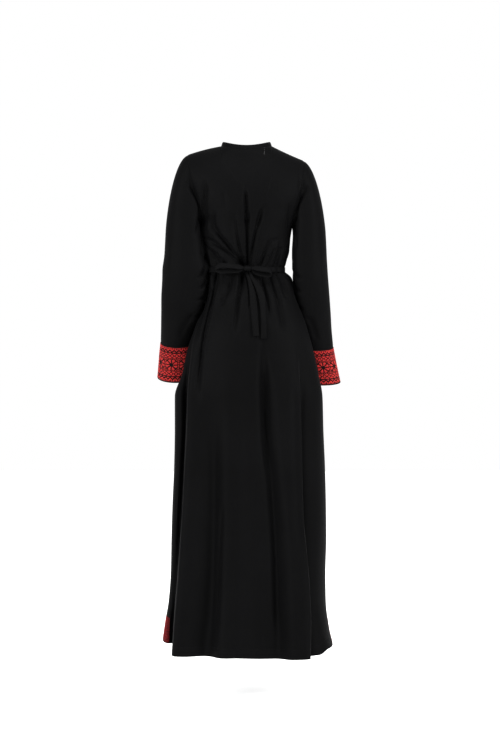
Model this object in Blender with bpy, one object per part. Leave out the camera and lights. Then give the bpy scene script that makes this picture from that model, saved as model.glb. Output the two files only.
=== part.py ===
"""A long black thobe, filled out as it is worn: a hollow garment of cloth walls.

The back faces -Y and +Z is up. The origin lies inside the neck, at the level of the
shoulders, where the wearer holds the dress up. All sizes are metres.
"""

import math
from collections import namedtuple

import bmesh
import bpy
import numpy as np
from mathutils import Matrix

CLOTH = 0.0020            # thickness of the dress cloth
BAND = 0.0024             # thickness of the stitched cuff bands
STRAP = 0.0024            # thickness of the folded belt strap
SEAM = 0.0004             # gap left between neighbouring pieces
HEM = -1.366              # level of the hem
UNDERARM = -0.195         # level where the armholes end and the side seams start
WAIST = -0.3145           # middle of the belt
BELT_WIDTH = 0.0148       # height of the belt strap
NECK_HALF_WIDTH = 0.070   # neck opening, from the middle to the side
NECK_BACK = -0.062        # how far the neck opening reaches back and forward
NECK_FRONT = 0.070
NECK_SHARE = 0.44         # share of a panel's columns that run round the neck opening
NECK_BAND_HEIGHT = 0.012
NECK_BAND_LIFT = 0.0006   # the band stands this far above the neck's edge and inside it
NECK_BAND_INSET = 0.001
NECK_BAND_LEAN = 0.004    # its top edge leans in by this much more
LEFT_HEM_LIFT = 0.024     # how much higher the hem hangs at the side seams
RIGHT_HEM_LIFT = 0.011
HEM_LIFT_START = -1.05
HEM_LIFT_CORNERS = (0.80, 0.92)   # where the lift starts and is full (cosine of the ring's angle)
GORE_TOP = -1.062         # side gores at the hem: level of the point, half of the hem's width
GORE_HALF_WIDTH = 0.070
SEAM_TURN = 0.036         # how far the side seams have moved round at the hem, the left one back
SEAM_TURN_START = -1.10
GORE_POINT = 0.004        # the gore's first row lies this far below its point
ROUND = 720               # points of one finely drawn ring
SHARP_ANGLE = math.radians(50)
BACK_COLUMNS = 36
FRONT_COLUMNS = 18
GORE_COLUMNS = 4

# Levels of the rows of the two body panels, from the underarm to the hem.
LEVELS = (
    UNDERARM, -0.214, -0.238, -0.262, -0.284, -0.298, WAIST + BELT_WIDTH / 2, WAIST,
    WAIST - BELT_WIDTH / 2, -0.333, -0.347, -0.364, -0.384, -0.407, -0.432, -0.460, -0.490,
    -0.522, -0.556, -0.592, -0.630, -0.668, -0.712, -0.770, -0.840, -0.915, -0.990, GORE_TOP,
    GORE_TOP - GORE_POINT, -1.135, -1.200, -1.255, -1.300, -1.337, HEM,
)
# Shares of the armhole's height at which the rows above the underarm lie.
RISES = (0.06, 0.16, 0.29, 0.43, 0.57, 0.70, 0.81, 0.90, 0.965, 1.0)

# The body below the underarms: half-widths to the left and right, depth of the back and of
# the front from the side seams, how far forward the side seams lie, and how square it is.
Section = namedtuple("Section", "level left right back front forward square")
BODY = (
    Section(-0.195, 0.1260, 0.1265, 0.090, 0.112, 0.000, 2.3),
    Section(-0.225, 0.1215, 0.1215, 0.087, 0.116, 0.000, 2.3),
    Section(-0.262, 0.1150, 0.1180, 0.080, 0.106, 0.000, 2.2),
    Section(-0.292, 0.1030, 0.1080, 0.074, 0.092, 0.000, 2.1),
    Section(-0.3145, 0.0990, 0.1040, 0.071, 0.085, 0.000, 2.1),
    Section(-0.342, 0.1050, 0.1220, 0.084, 0.088, 0.000, 2.1),
    Section(-0.397, 0.1180, 0.1470, 0.105, 0.098, 0.000, 2.2),
    Section(-0.466, 0.1400, 0.1650, 0.104, 0.122, -0.016, 2.2),
    Section(-0.535, 0.1630, 0.1840, 0.103, 0.136, -0.024, 2.2),
    Section(-0.600, 0.1770, 0.1980, 0.108, 0.142, -0.022, 2.3),
    Section(-0.663, 0.1980, 0.2100, 0.121, 0.138, -0.012, 2.4),
    Section(-0.755, 0.1985, 0.2130, 0.136, 0.138, 0.000, 2.4),
    Section(-0.860, 0.2010, 0.2180, 0.152, 0.137, 0.014, 2.5),
    Section(-0.967, 0.2060, 0.2210, 0.162, 0.143, 0.021, 2.6),
    Section(-1.062, 0.2090, 0.2220, 0.171, 0.147, 0.028, 2.7),
    Section(-1.157, 0.2110, 0.2200, 0.181, 0.151, 0.035, 2.8),
    Section(-1.242, 0.2165, 0.2215, 0.190, 0.154, 0.040, 2.8),
    Section(-1.323, 0.2280, 0.2310, 0.197, 0.158, 0.044, 2.9),
    Section(-1.366, 0.2340, 0.2410, 0.200, 0.160, 0.045, 2.9),
)

# The yoke above the underarms, by the share of the armhole's height: how far out the two
# armhole edges lie, and how far back and forward its middle reaches.
Yoke = namedtuple("Yoke", "rise left right back front")
YOKE = (
    Yoke(0.00, 0.1260, 0.1265, 0.090, 0.112),
    Yoke(0.15, 0.1262, 0.1300, 0.092, 0.108),
    Yoke(0.30, 0.1285, 0.1370, 0.094, 0.100),
    Yoke(0.50, 0.1410, 0.1470, 0.091, 0.090),
    Yoke(0.72, 0.1560, 0.1545, 0.083, 0.080),
    Yoke(1.00, 0.1630, 0.1580, 0.072, 0.074),
)
ARMHOLE_DEPTH = 0.056     # how far the armhole edges lie behind and before the shoulder line
ARMHOLE_CURVE = 0.8       # how quickly they part above the underarm
ROLL = 0.45               # rise from which the yoke rolls over towards the shoulder seam
ROLL_CURVE = 2.4          # how late the roll bends
YOKE_SQUARE = 2.5         # how flat the yoke's middle is
YOKE_EDGE = 1.6           # how sharply it turns towards the armholes
EVEN_RISE = 0.40          # rise by which the columns are evenly spread
SPREAD_RISE = 0.30        # rise from which they move to their places on the top edge
NECK_RISE = 0.75          # rise from which the cloth closes on the neck's edge
NECK_DIP = 0.7            # soft hollow below the neck's edge: its depth and its width
NECK_DIP_WIDTH = 0.8
LEFT_SHOULDER_SLOPE = 0.65    # share of a shoulder seam's drop that is straight
RIGHT_SHOULDER_SLOPE = 1.12
CALM_LEVEL = -0.035       # folds of the back fade out up to this level
CALM_FADE = 0.06
CALM_EDGE = 0.10          # and within this share of the armhole edges

# The top edge: level of the shoulder seams at the neck and at the tips, and of the neck's edge.
NECK_SIDE_LEVEL = 0.027
NECK_BACK_LEVEL = 0.014
NECK_FRONT_LEVEL = -0.036
LEFT_TIP_LEVEL = 0.003
RIGHT_TIP_LEVEL = -0.013

# Sleeves: middle of each ring, its half-width and half-depth, and how far its plane tips
# so that its back edge hangs lower (radians). x counts outwards from the body's middle.
Ring = namedtuple("Ring", "level x y half_width half_depth tip")
SLEEVES = {
    "left": (
        Ring(-0.270, 0.1715, -0.004, 0.0540, 0.058, 0.00),
        Ring(-0.320, 0.1705, -0.006, 0.0605, 0.057, 0.00),
        Ring(-0.375, 0.1735, 0.000, 0.0610, 0.055, 0.06),
        Ring(-0.430, 0.1800, 0.014, 0.0555, 0.052, 0.16),
        Ring(-0.475, 0.1860, 0.028, 0.0510, 0.049, 0.26),
        Ring(-0.512, 0.1910, 0.042, 0.0485, 0.047, 0.34),
    ),
    "right": (
        Ring(-0.270, 0.1735, -0.002, 0.0480, 0.056, 0.00),
        Ring(-0.320, 0.1755, -0.003, 0.0490, 0.055, 0.00),
        Ring(-0.375, 0.1795, 0.003, 0.0495, 0.054, 0.04),
        Ring(-0.430, 0.1845, 0.015, 0.0490, 0.052, 0.10),
        Ring(-0.480, 0.1895, 0.028, 0.0475, 0.049, 0.16),
        Ring(-0.526, 0.1950, 0.042, 0.0470, 0.048, 0.20),
    ),
}
CUFFS = {
    "left": (
        Ring(-0.5126, 0.1911, 0.0423, 0.0489, 0.0474, 0.34),
        Ring(-0.545, 0.1935, 0.0520, 0.0505, 0.0490, 0.33),
        Ring(-0.578, 0.1955, 0.0620, 0.0515, 0.0500, 0.32),
        Ring(-0.612, 0.1975, 0.0730, 0.0530, 0.0510, 0.31),
    ),
    "right": (
        Ring(-0.5266, 0.1951, 0.0422, 0.0474, 0.0484, 0.20),
        Ring(-0.560, 0.1995, 0.0510, 0.0495, 0.0495, 0.19),
        Ring(-0.592, 0.2050, 0.0600, 0.0510, 0.0500, 0.18),
        Ring(-0.626, 0.2110, 0.0700, 0.0530, 0.0510, 0.17),
    ),
}
SIDES = {"left": -1, "right": 1}
# How a sleeve leaves its armhole, by height from the underarm (0) to the shoulder tip (1): the
# outward and downward parts of its direction, and the length of its curve's first guide.
Leave = namedtuple("Leave", "height out down guide")
LEAVES = (
    Leave(0.00, 0.300, 1.000, 0.300),
    Leave(0.25, 0.290, 0.825, 0.259),
    Leave(0.60, 0.620, 0.580, 0.201),
    Leave(1.00, 1.000, 0.300, 0.135),
)
ARRIVE_GUIDE = 0.42       # length of the second guide, at a sleeve's first ring
CAP_STEPS = (0.06, 0.16, 0.30, 0.48, 0.70)   # rows between the armhole and that ring

# The skirt's sides give way to the sleeves that lie against them.
SLEEVE_CLEARANCE = 0.007  # the skirt's side lies this far inside a sleeve
PRESS_TOP = -0.25         # level below which a sleeve presses
PRESS_FADE = (-0.635, -0.730)   # levels between which the pressing fades out
PRESS_INNER = 0.05        # the middle of the skirt, up to here, is never pressed
PRESS_SOFTNESS = 0.004
PRESS_DEPTH = 1.06        # the hollow is this much deeper than the sleeve
PRESS_FLARE = 1.2         # how steeply it opens before and behind the sleeve
PRESS_RELEASE = 0.4       # how far out the limit moves where the pressing has faded

# Folds of the back: the path from its first to its last point (x and level), the widths of
# its two flanks (towards -X and +X), and how far it stands out (minus: sinks in) at the two
# ends.
Fold = namedtuple("Fold", "path left right first last")
BACK_FOLDS = (
    # the middle of the back, and the creases that run to the knot
    Fold(((-0.004, -0.085), (-0.004, -0.170), (-0.002, -0.250), (0.000, -0.312)),
         0.007, 0.008, -0.004, -0.008),
    Fold(((-0.040, -0.170), (-0.026, -0.240), (-0.008, -0.300)), 0.007, 0.007, -0.003, -0.005),
    Fold(((0.052, -0.130), (0.024, -0.220), (0.006, -0.305)), 0.008, 0.008, -0.003, -0.005),
    Fold(((-0.119, -0.160), (-0.086, -0.213), (-0.040, -0.267), (-0.010, -0.306)),
         0.008, 0.008, -0.005, -0.005),
    Fold(((-0.113, -0.235), (-0.080, -0.252), (-0.045, -0.278), (-0.018, -0.303)),
         0.007, 0.007, -0.004, -0.005),
    Fold(((0.085, -0.225), (0.062, -0.258), (0.040, -0.298)), 0.007, 0.007, -0.003, -0.004),
    Fold(((-0.108, -0.085), (-0.121, -0.140), (-0.120, -0.200)), 0.010, 0.012, -0.004, -0.006),
    # the skirt, from the knot and belt downwards
    Fold(((-0.010, -0.322), (-0.022, -0.395), (-0.034, -0.500)), 0.008, 0.009, -0.007, -0.003),
    Fold(((-0.043, -0.335), (-0.070, -0.420)), 0.008, 0.009, -0.005, -0.003),
    Fold(((0.042, -0.330), (0.050, -0.370), (0.060, -0.450)), 0.008, 0.009, -0.006, -0.003),
    Fold(((0.065, -0.330), (0.080, -0.380), (0.103, -0.490)), 0.009, 0.010, -0.006, -0.004),
    Fold(((-0.083, -0.325), (-0.116, -0.430), (-0.131, -0.580), (-0.136, -0.720)),
         0.010, 0.011, -0.006, -0.004),
    Fold(((-0.104, -0.365), (-0.152, -0.510), (-0.167, -0.640), (-0.180, -0.970),
          (-0.190, -1.160), (-0.209, -1.440)), 0.016, 0.011, -0.010, -0.030),
    Fold(((-0.092, -0.365), (-0.140, -0.510), (-0.152, -0.640), (-0.162, -0.970),
          (-0.174, -1.160), (-0.191, -1.440)), 0.012, 0.026, 0.006, 0.030),
    Fold(((-0.095, -0.620), (-0.098, -0.850), (-0.105, -1.100), (-0.135, -1.440)),
         0.030, 0.036, -0.008, -0.044),
    Fold(((0.045, -0.500), (0.053, -0.700), (0.067, -0.880), (0.081, -1.110), (0.087, -1.440)),
         0.016, 0.018, -0.008, -0.010),
    Fold(((0.128, -0.480), (0.134, -0.660), (0.136, -0.960), (0.145, -1.160), (0.149, -1.440)),
         0.052, 0.011, 0.006, 0.070),
    Fold(((0.150, -0.480), (0.155, -0.660), (0.156, -0.960), (0.164, -1.160), (0.168, -1.440)),
         0.012, 0.036, -0.006, -0.036),
)
# Folds of the front, which hangs plainly from the bust.
FRONT_FOLDS = (
    Fold(((-0.050, -0.220), (-0.070, -0.480), (-0.085, -0.900), (-0.100, -1.440)),
         0.020, 0.030, -0.003, -0.024),
    Fold(((0.055, -0.230), (0.066, -0.500), (0.090, -0.900), (0.112, -1.440)),
         0.028, 0.022, -0.003, -0.026),
    Fold(((0.000, -0.330), (0.004, -0.700), (0.010, -1.440)), 0.030, 0.030, 0.004, 0.020),
    Fold(((-0.118, -0.640), (-0.150, -0.950), (-0.166, -1.440)), 0.022, 0.018, 0.004, 0.022),
    Fold(((0.120, -0.660), (0.150, -0.980), (0.168, -1.440)), 0.018, 0.022, 0.004, 0.020),
    Fold(((-0.096, -0.255), (-0.060, -0.300)), 0.007, 0.007, -0.003, -0.003),
    Fold(((0.096, -0.255), (0.060, -0.302)), 0.007, 0.007, -0.003, -0.003),
)
# Gathers round the belt: waves round the whole ring, their height and their phase.
Gather = namedtuple("Gather", "waves height phase")
GATHERS = (Gather(15, 0.0022, 0.4), Gather(19, 0.0018, 2.1))
GATHER_START = 0.018      # how far from the belt's middle they are full, and how they fade out
GATHER_REACH = 0.045
BELT_PRESS = 0.15         # share of a fold's height that is left under the belt
BELT_REACH = 0.020        # how far from the belt's middle the folds are free again
FOLD_END = 0.16           # share of a fold's length in which it rises and ends
FOLD_STEP = 0.004         # step over which a fold's slope is taken
SIDE_CALM = (0.10, 0.40)  # folds start beside the side seams (sine of the ring's angle)

# The bow: the knot, and the loops as paths from it and back (depth counts from the knot's
# middle), with the direction in which the strap's width lies.
KNOT_X = 0.003
KNOT_LEVEL = -0.3125
KNOT_RADII = (0.0105, 0.0085, 0.0080)
KNOT_TURN = 0.15
Loop = namedtuple("Loop", "path lie width")
LOOPS = {
    "left": Loop(
        ((-0.0070, -0.0042, -0.3115), (-0.030, -0.011, -0.3095), (-0.056, -0.014, -0.3085),
         (-0.077, -0.012, -0.3100), (-0.0835, -0.0065, -0.3130), (-0.076, -0.001, -0.3160),
         (-0.055, 0.002, -0.3185), (-0.030, 0.0035, -0.3175), (-0.0076, 0.0035, -0.3150)),
        (0.0, 0.0, -1.0), 0.0165),
    "right": Loop(
        ((0.0142, -0.0040, -0.3115), (0.032, -0.0090, -0.3130), (0.052, -0.0110, -0.3155),
         (0.0645, -0.0100, -0.3195), (0.0685, -0.0070, -0.3260), (0.0630, -0.0040, -0.3315),
         (0.047, -0.0015, -0.3315), (0.030, 0.0000, -0.3270), (0.0145, 0.0015, -0.3190)),
        (0.0, -0.80, -0.60), 0.0160),
}
LOOP_STEPS = 22
# The hanging ends: places along each, its width there and its lift off the back.
Tail = namedtuple("Tail", "x level width lift")
TAILS = {
    "left": (
        Tail(-0.0005, -0.3212, 0.0080, 0.0040),
        Tail(0.0070, -0.3420, 0.0100, 0.0040),
        Tail(0.0165, -0.3850, 0.0170, 0.0035),
        Tail(0.0215, -0.4350, 0.0180, 0.0035),
        Tail(0.0265, -0.4960, 0.0170, 0.0040),
    ),
    "right": (
        Tail(0.0088, -0.3203, 0.0080, 0.0040),
        Tail(0.0148, -0.3360, 0.0100, 0.0040),
        Tail(0.0255, -0.3520, 0.0150, 0.0045),
        Tail(0.0370, -0.3760, 0.0185, 0.0050),
        Tail(0.0445, -0.4200, 0.0155, 0.0045),
        Tail(0.0472, -0.5030, 0.0165, 0.0045),
    ),
}
TAIL_STEPS = 16

Cloth = namedtuple("Cloth", "colour roughness")
BLACK_CREPE = Cloth(colour=(0.009, 0.009, 0.010), roughness=0.85)
RED_STITCH = Cloth(colour=(0.230, 0.020, 0.018), roughness=0.80)


def ease(share):
    """0 to 1 with a level start and end."""
    share = np.clip(share, 0.0, 1.0)
    return share * share * (3.0 - 2.0 * share)


def through(places, values, at):
    """A smooth curve through a table's values that never overshoots them."""
    order = np.argsort(places)
    places = np.asarray(places, float)[order]
    values = np.asarray(values, float)[order]
    steps = np.diff(places)
    slopes = np.diff(values) / steps
    bends = np.zeros(len(places))
    bends[0], bends[-1] = slopes[0], slopes[-1]
    for i in range(1, len(places) - 1):
        before, after = slopes[i - 1], slopes[i]
        if before * after > 0:
            first = 2 * steps[i] + steps[i - 1]
            second = steps[i] + 2 * steps[i - 1]
            bends[i] = (first + second) / (first / before + second / after)
    at = np.asarray(at, float)
    inside = np.clip(at, places[0], places[-1])
    i = np.clip(np.searchsorted(places, inside) - 1, 0, len(steps) - 1)
    t = (inside - places[i]) / steps[i]
    curve = (
        values[i] * (1 + 2 * t) * (1 - t) ** 2
        + steps[i] * bends[i] * t * (1 - t) ** 2
        + values[i + 1] * t * t * (3 - 2 * t)
        + steps[i] * bends[i + 1] * t * t * (t - 1)
    )
    return curve + np.where(at < places[0], bends[0], bends[-1]) * (at - inside)


def column(table, name, at):
    """One named column of a table, read at the given places of its first column."""
    return through([row[0] for row in table], [getattr(row, name) for row in table], at)


def unit(vectors):
    return vectors / np.maximum(np.linalg.norm(vectors, axis=-1, keepdims=True), 1e-12)


def fold_height(folds, x, level):
    """How far the folds move each place of a panel outwards."""
    height = np.zeros(np.broadcast(x, level).shape)
    for fold in folds:
        path = np.array(fold.path)
        start, end = path[0, 1], path[-1, 1]
        middle = through(path[:, 1], path[:, 0], level)
        slope = (through(path[:, 1], path[:, 0], level - FOLD_STEP) - middle) / FOLD_STEP
        off = (x - middle) / np.sqrt(1.0 + slope**2)
        width = np.where(off < 0, fold.left, fold.right)
        share = (start - level) / (start - end)
        ends = ease(share / FOLD_END)
        if end > HEM:
            ends = ends * ease((1.0 - share) / FOLD_END)
        size = fold.first + (fold.last - fold.first) * np.clip(share, 0.0, 1.0)
        height += size * ends * np.exp(-((off / width) ** 2))
    free = ease(np.abs(level - WAIST) / BELT_REACH)
    return height * (BELT_PRESS + (1.0 - BELT_PRESS) * free)


def gather_height(angle, level):
    """Small uneven gathers above and below the belt, almost flat under it."""
    away = np.abs(level - WAIST)
    reach = np.exp(-(((away - GATHER_START) / GATHER_REACH) ** 2))
    free = BELT_PRESS + (1.0 - BELT_PRESS) * ease(away / GATHER_START)
    waves = sum(g.height * np.sin(g.waves * angle + g.phase) for g in GATHERS)
    return waves * reach * free


def press_by_sleeves(x, y, level):
    """x of each place of the skirt once the sleeves have pressed its sides in."""
    pressed = x.copy()
    for side, sign in SIDES.items():
        rings = SLEEVES[side] + CUFFS[side][1:]
        at = np.clip(level, rings[-1].level, rings[0].level)
        fade = 1.0 - ease((PRESS_FADE[0] - level) / (PRESS_FADE[0] - PRESS_FADE[1]))
        reach = (column(rings, "half_width", at) + SLEEVE_CLEARANCE) * fade
        depth = column(rings, "half_depth", at) * PRESS_DEPTH + SLEEVE_CLEARANCE
        off = np.abs(y - column(rings, "y", at)) / depth
        bump = np.sqrt(np.clip(1.0 - off**2, 0.0, 1.0)) - PRESS_FLARE * np.clip(off - 1.0, 0.0, None)
        limit = column(rings, "x", at) - reach * bump + PRESS_RELEASE * (1.0 - fade)
        outward = sign * pressed
        sharp = np.logaddexp(-outward / PRESS_SOFTNESS, -limit / PRESS_SOFTNESS)
        touched = (outward > PRESS_INNER) & (level < PRESS_TOP)
        pressed = np.where(touched, -sign * PRESS_SOFTNESS * sharp, pressed)
    return pressed


def body_rings(levels):
    """Closed rings of the body below the underarms and their outward normals.

    A ring starts at the left side seam and runs round the back to the right one.
    """
    angle = np.arange(ROUND) * 2 * math.pi / ROUND
    levels = np.asarray(levels, float)[:, None]
    left, right = column(BODY, "left", levels), column(BODY, "right", levels)
    power = 2.0 / column(BODY, "square", levels)
    across = np.sign(np.cos(angle)) * np.abs(np.cos(angle)) ** power
    along = np.sign(np.sin(angle)) * np.abs(np.sin(angle)) ** power
    depth = np.where(np.sin(angle) >= 0, column(BODY, "back", levels), column(BODY, "front", levels))
    x = (right - left) / 2 - (right + left) / 2 * across
    y = column(BODY, "forward", levels) - depth * along
    start, full = HEM_LIFT_CORNERS
    corner = ease((np.abs(np.cos(angle)) - start) / (full - start))
    lift = np.where(np.cos(angle) > 0, LEFT_HEM_LIFT, RIGHT_HEM_LIFT) * corner
    z = levels + lift * ease((HEM_LIFT_START - levels) / (HEM_LIFT_START - HEM))
    x = press_by_sleeves(x, y, z)
    rings = np.stack([x, y, z], axis=-1)
    normals = ring_normals(rings)
    side = ease((np.abs(np.sin(angle)) - SIDE_CALM[0]) / (SIDE_CALM[1] - SIDE_CALM[0]))
    back = fold_height(BACK_FOLDS, x, z) * side
    front = fold_height(FRONT_FOLDS, x, z) * side
    height = np.where(np.sin(angle) >= 0, back, front) + gather_height(angle, z)
    rings = rings + normals * height[..., None]
    return rings, ring_normals(rings)


def ring_normals(rings):
    around = np.roll(rings, -1, axis=1) - np.roll(rings, 1, axis=1)
    up = -np.gradient(rings, axis=0)
    return unit(np.cross(around, up))


def read_ring(ring, normals, start, end, shares):
    """Points and normals of a ring between two distances from its first point.

    Distances run along the ring; they may be below zero, on the far side of the seam.
    """
    closed = np.vstack([ring, ring[:1]])
    steps = np.linalg.norm(np.diff(closed, axis=0), axis=1)
    length = np.concatenate([[0.0], np.cumsum(steps)])
    total = length[-1]
    wanted = np.mod(start + (end - start) * shares, total)
    turned = np.vstack([normals, normals[:1]])
    points = np.stack([np.interp(wanted, length, closed[:, i]) for i in range(3)], axis=-1)
    facing = np.stack([np.interp(wanted, length, turned[:, i]) for i in range(3)], axis=-1)
    return points, unit(facing)


def seam_lengths(ring):
    """The whole length of a ring and the distance of the right side seam along it."""
    steps = np.linalg.norm(np.diff(np.vstack([ring, ring[:1]]), axis=0), axis=1)
    return steps.sum(), steps[: ROUND // 2].sum()


def gore_reach(level):
    """Half of the gore's width at a level: nothing above its point."""
    return GORE_HALF_WIDTH * max(0.0, (GORE_TOP - level) / (GORE_TOP - HEM))


def seam_turn(level):
    """How far round the side seams have moved at a level."""
    return SEAM_TURN * ease((SEAM_TURN_START - level) / (SEAM_TURN_START - HEM))


def panel_rows(half, columns):
    """The rows of the back or the front between the side seams, from the underarm down."""
    rings, normals = body_rings(LEVELS)
    shares = np.linspace(0.0, 1.0, columns + 1)
    points, facing = [], []
    for ring, normal, level in zip(rings, normals, LEVELS):
        total, right_seam = seam_lengths(ring)
        edge = gore_reach(level) + SEAM / 2
        if half == "back":
            start, end = edge, right_seam - edge
        else:
            start, end = total - edge, right_seam + edge
        turn = seam_turn(level)
        row, turned = read_ring(ring, normal, start + turn, end + turn, shares)
        points.append(row)
        facing.append(turned)
    return np.array(points), np.array(facing)


def top_edge(across, corner):
    """Places of the top edge: x, how far inside the neck opening, and the shoulder's level.

    across runs from -1 to 1; the neck's corners lie at its places -corner and corner.
    """
    tip_x = np.where(across < 0, YOKE[-1].left, YOKE[-1].right)
    tip = np.where(across < 0, LEFT_TIP_LEVEL, RIGHT_TIP_LEVEL)
    out = np.clip((np.abs(across) - corner) / (1.0 - corner), 0.0, 1.0)
    turn = np.clip(across / corner, -1.0, 1.0) * math.pi / 2
    x = np.sin(turn) * NECK_HALF_WIDTH + np.sign(across) * out * (tip_x - NECK_HALF_WIDTH)
    slope = np.where(across < 0, LEFT_SHOULDER_SLOPE, RIGHT_SHOULDER_SLOPE)
    drop = slope * out + (1.0 - slope) * out**2
    shoulder = NECK_SIDE_LEVEL + (tip - NECK_SIDE_LEVEL) * drop
    return x, np.cos(turn), shoulder


def yoke_rows(half, columns):
    """The rows between the armholes, from just above the underarm to the top edge."""
    back = half == "back"
    sign = -1 if back else 1
    across = np.linspace(-1.0, 1.0, columns + 1)
    corner = 2.0 * round(NECK_SHARE * columns / 2) / columns
    top_x, inside, shoulder = top_edge(across, corner)
    neck_depth = NECK_BACK if back else NECK_FRONT
    neck_level = NECK_BACK_LEVEL if back else NECK_FRONT_LEVEL
    sharp_y = neck_depth * inside + sign * SEAM / 2 * (inside < 1e-6)
    soft_y = NECK_DIP * neck_depth * np.exp(-((top_x / (NECK_DIP_WIDTH * NECK_HALF_WIDTH)) ** 2))
    top_z = shoulder + (neck_level - NECK_SIDE_LEVEL) * inside**2
    rows = []
    for rise in RISES:
        left, right = column(YOKE, "left", rise), column(YOKE, "right", rise)
        even = ease(rise / EVEN_RISE)
        place = np.sin(across * math.pi / 2) * (1.0 - even) + across * even
        low_x = (right - left) / 2 + (right + left) / 2 * place
        high_x = top_x * np.where(across < 0, left / YOKE[-1].left, right / YOKE[-1].right)
        x = low_x + (high_x - low_x) * ease((rise - SPREAD_RISE) / (1.0 - SPREAD_RISE))
        place = np.clip(2 * (x - (right - left) / 2) / (right + left), -1.0, 1.0)
        top_y = soft_y + (sharp_y - soft_y) * ease((rise - NECK_RISE) / (1.0 - NECK_RISE))
        edge = ARMHOLE_DEPTH * math.sin(math.pi / 2 * min(1.0, rise / ROLL)) ** ARMHOLE_CURVE
        middle = column(YOKE, half, rise)
        bulge = (1.0 - np.abs(place) ** YOKE_SQUARE) ** (1 / YOKE_EDGE)
        full = sign * (edge + (middle - edge) * bulge)
        roll = max(0.0, (rise - ROLL) / (1.0 - ROLL))
        rolled = math.sqrt(max(0.0, 1.0 - roll**ROLL_CURVE))
        y = top_y + (full - top_y) * rolled
        z = UNDERARM + (top_z - UNDERARM) * rise
        rows.append(np.stack([x, y, z], axis=-1))
    return np.array(rows)


def grid_normals(points, sign):
    along = np.gradient(points, axis=1)
    up = -np.gradient(points, axis=0)
    return unit(np.cross(along, up)) * sign


def body_panel(half, columns):
    """The whole back or front as a grid: points and outward normals, top edge first."""
    lower, lower_normals = panel_rows(half, columns)
    upper = yoke_rows(half, columns)[::-1]
    sign = 1 if half == "back" else -1
    points = np.concatenate([upper, lower])
    folds = BACK_FOLDS if half == "back" else FRONT_FOLDS
    normals = grid_normals(points, sign)
    count = len(upper)
    x, z = points[:count, :, 0], points[:count, :, 2]
    edge = ease((1.0 - np.abs(np.linspace(-1, 1, columns + 1))) / CALM_EDGE)
    height = fold_height(folds, x, z) * ease((CALM_LEVEL - z) / CALM_FADE) * edge
    points[:count] += normals[:count] * height[..., None]
    normals = grid_normals(points, sign)
    normals[count + 1 :] = lower_normals[1:]
    normals[count] = unit(normals[count] + lower_normals[0])
    normals[count, [0, -1]] = lower_normals[0, [0, -1]]
    shoulder = np.abs(points[0, :, 1]) < 2 * SEAM
    slope = np.gradient(points[0, :, 2]) / np.gradient(points[0, :, 0])
    for i in np.flatnonzero(shoulder):
        normals[0, i] = (-slope[i] / math.hypot(1, slope[i]), 0.0, 1 / math.hypot(1, slope[i]))
    return points, normals


def add_object(name, vertices, faces, cloth):
    mesh = bpy.data.meshes.new(name)
    mesh.from_pydata([tuple(v) for v in vertices], [], faces)
    mesh.validate()
    finish_object(name, mesh, cloth)


def finish_object(name, mesh, cloth):
    mesh.materials.append(new_material(name, cloth))
    mesh.shade_smooth()
    mesh.set_sharp_from_angle(angle=SHARP_ANGLE)
    bpy.context.scene.collection.objects.link(bpy.data.objects.new(name, mesh))


def new_material(name, cloth):
    material = bpy.data.materials.new(name)
    material.use_nodes = True
    shader = material.node_tree.nodes["Principled BSDF"]
    shader.inputs["Base Color"].default_value = (*cloth.colour, 1.0)
    shader.inputs["Roughness"].default_value = cloth.roughness
    shader.inputs["Metallic"].default_value = 0.0
    return material


def wall(name, outer, inner, cloth, closed=False):
    """A sheet with thickness: two grids of points joined round their edges.

    Rows run from top to bottom and columns run so that the outer grid faces out.
    """
    rows, columns = outer.shape[:2]
    vertices = np.concatenate([outer.reshape(-1, 3), inner.reshape(-1, 3)])
    shift = rows * columns
    spans = columns if closed else columns - 1
    faces = []

    def at(row, col, layer=0):
        return layer * shift + row * columns + col % columns

    for row in range(rows - 1):
        for col in range(spans):
            low = [at(row, col), at(row + 1, col), at(row + 1, col + 1)]
            high = [at(row, col), at(row + 1, col + 1), at(row, col + 1)]
            for corners in (low, high):
                faces.append(corners)
                faces.append([v + shift for v in reversed(corners)])
    for col in range(spans):
        faces.append([at(0, col + 1), at(0, col + 1, 1), at(0, col, 1), at(0, col)])
        last = rows - 1
        faces.append([at(last, col), at(last, col, 1), at(last, col + 1, 1), at(last, col + 1)])
    if not closed:
        last = columns - 1
        for row in range(rows - 1):
            faces.append([at(row, 0), at(row, 0, 1), at(row + 1, 0, 1), at(row + 1, 0)])
            faces.append([at(row + 1, last), at(row + 1, last, 1), at(row, last, 1), at(row, last)])
    add_object(name, vertices, faces, cloth)


def make_body():
    back, back_normals = body_panel("back", BACK_COLUMNS)
    front, front_normals = body_panel("front", FRONT_COLUMNS)
    wall("back", back, back - back_normals * CLOTH, BLACK_CREPE)
    wall("front", front[:, ::-1], (front - front_normals * CLOTH)[:, ::-1], BLACK_CREPE)
    return back, back_normals, front, front_normals


def make_gores():
    """Embroidered triangles in the side seams, from their points down to the hem."""
    levels = [level for level in LEVELS if level < GORE_TOP]
    rings, normals = body_rings(LEVELS)
    shares = np.linspace(0.0, 1.0, GORE_COLUMNS + 1)
    for side in SIDES:
        points, facing = [], []
        for level in levels:
            row = LEVELS.index(level)
            right_seam = seam_lengths(rings[row])[1]
            middle = seam_turn(level) + (0.0 if side == "left" else right_seam)
            reach = gore_reach(level) - SEAM / 2
            ring, turned = read_ring(rings[row], normals[row], middle - reach, middle + reach, shares)
            points.append(ring)
            facing.append(turned)
        points, facing = np.array(points), np.array(facing)
        wall(f"gore_{side}", points, points - facing * CLOTH, RED_STITCH)


def armhole(panel_points, side):
    """The armhole edge of one panel, from the shoulder tip down to the underarm."""
    return panel_points[: len(RISES) + 1, 0 if side == "left" else -1]


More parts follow.
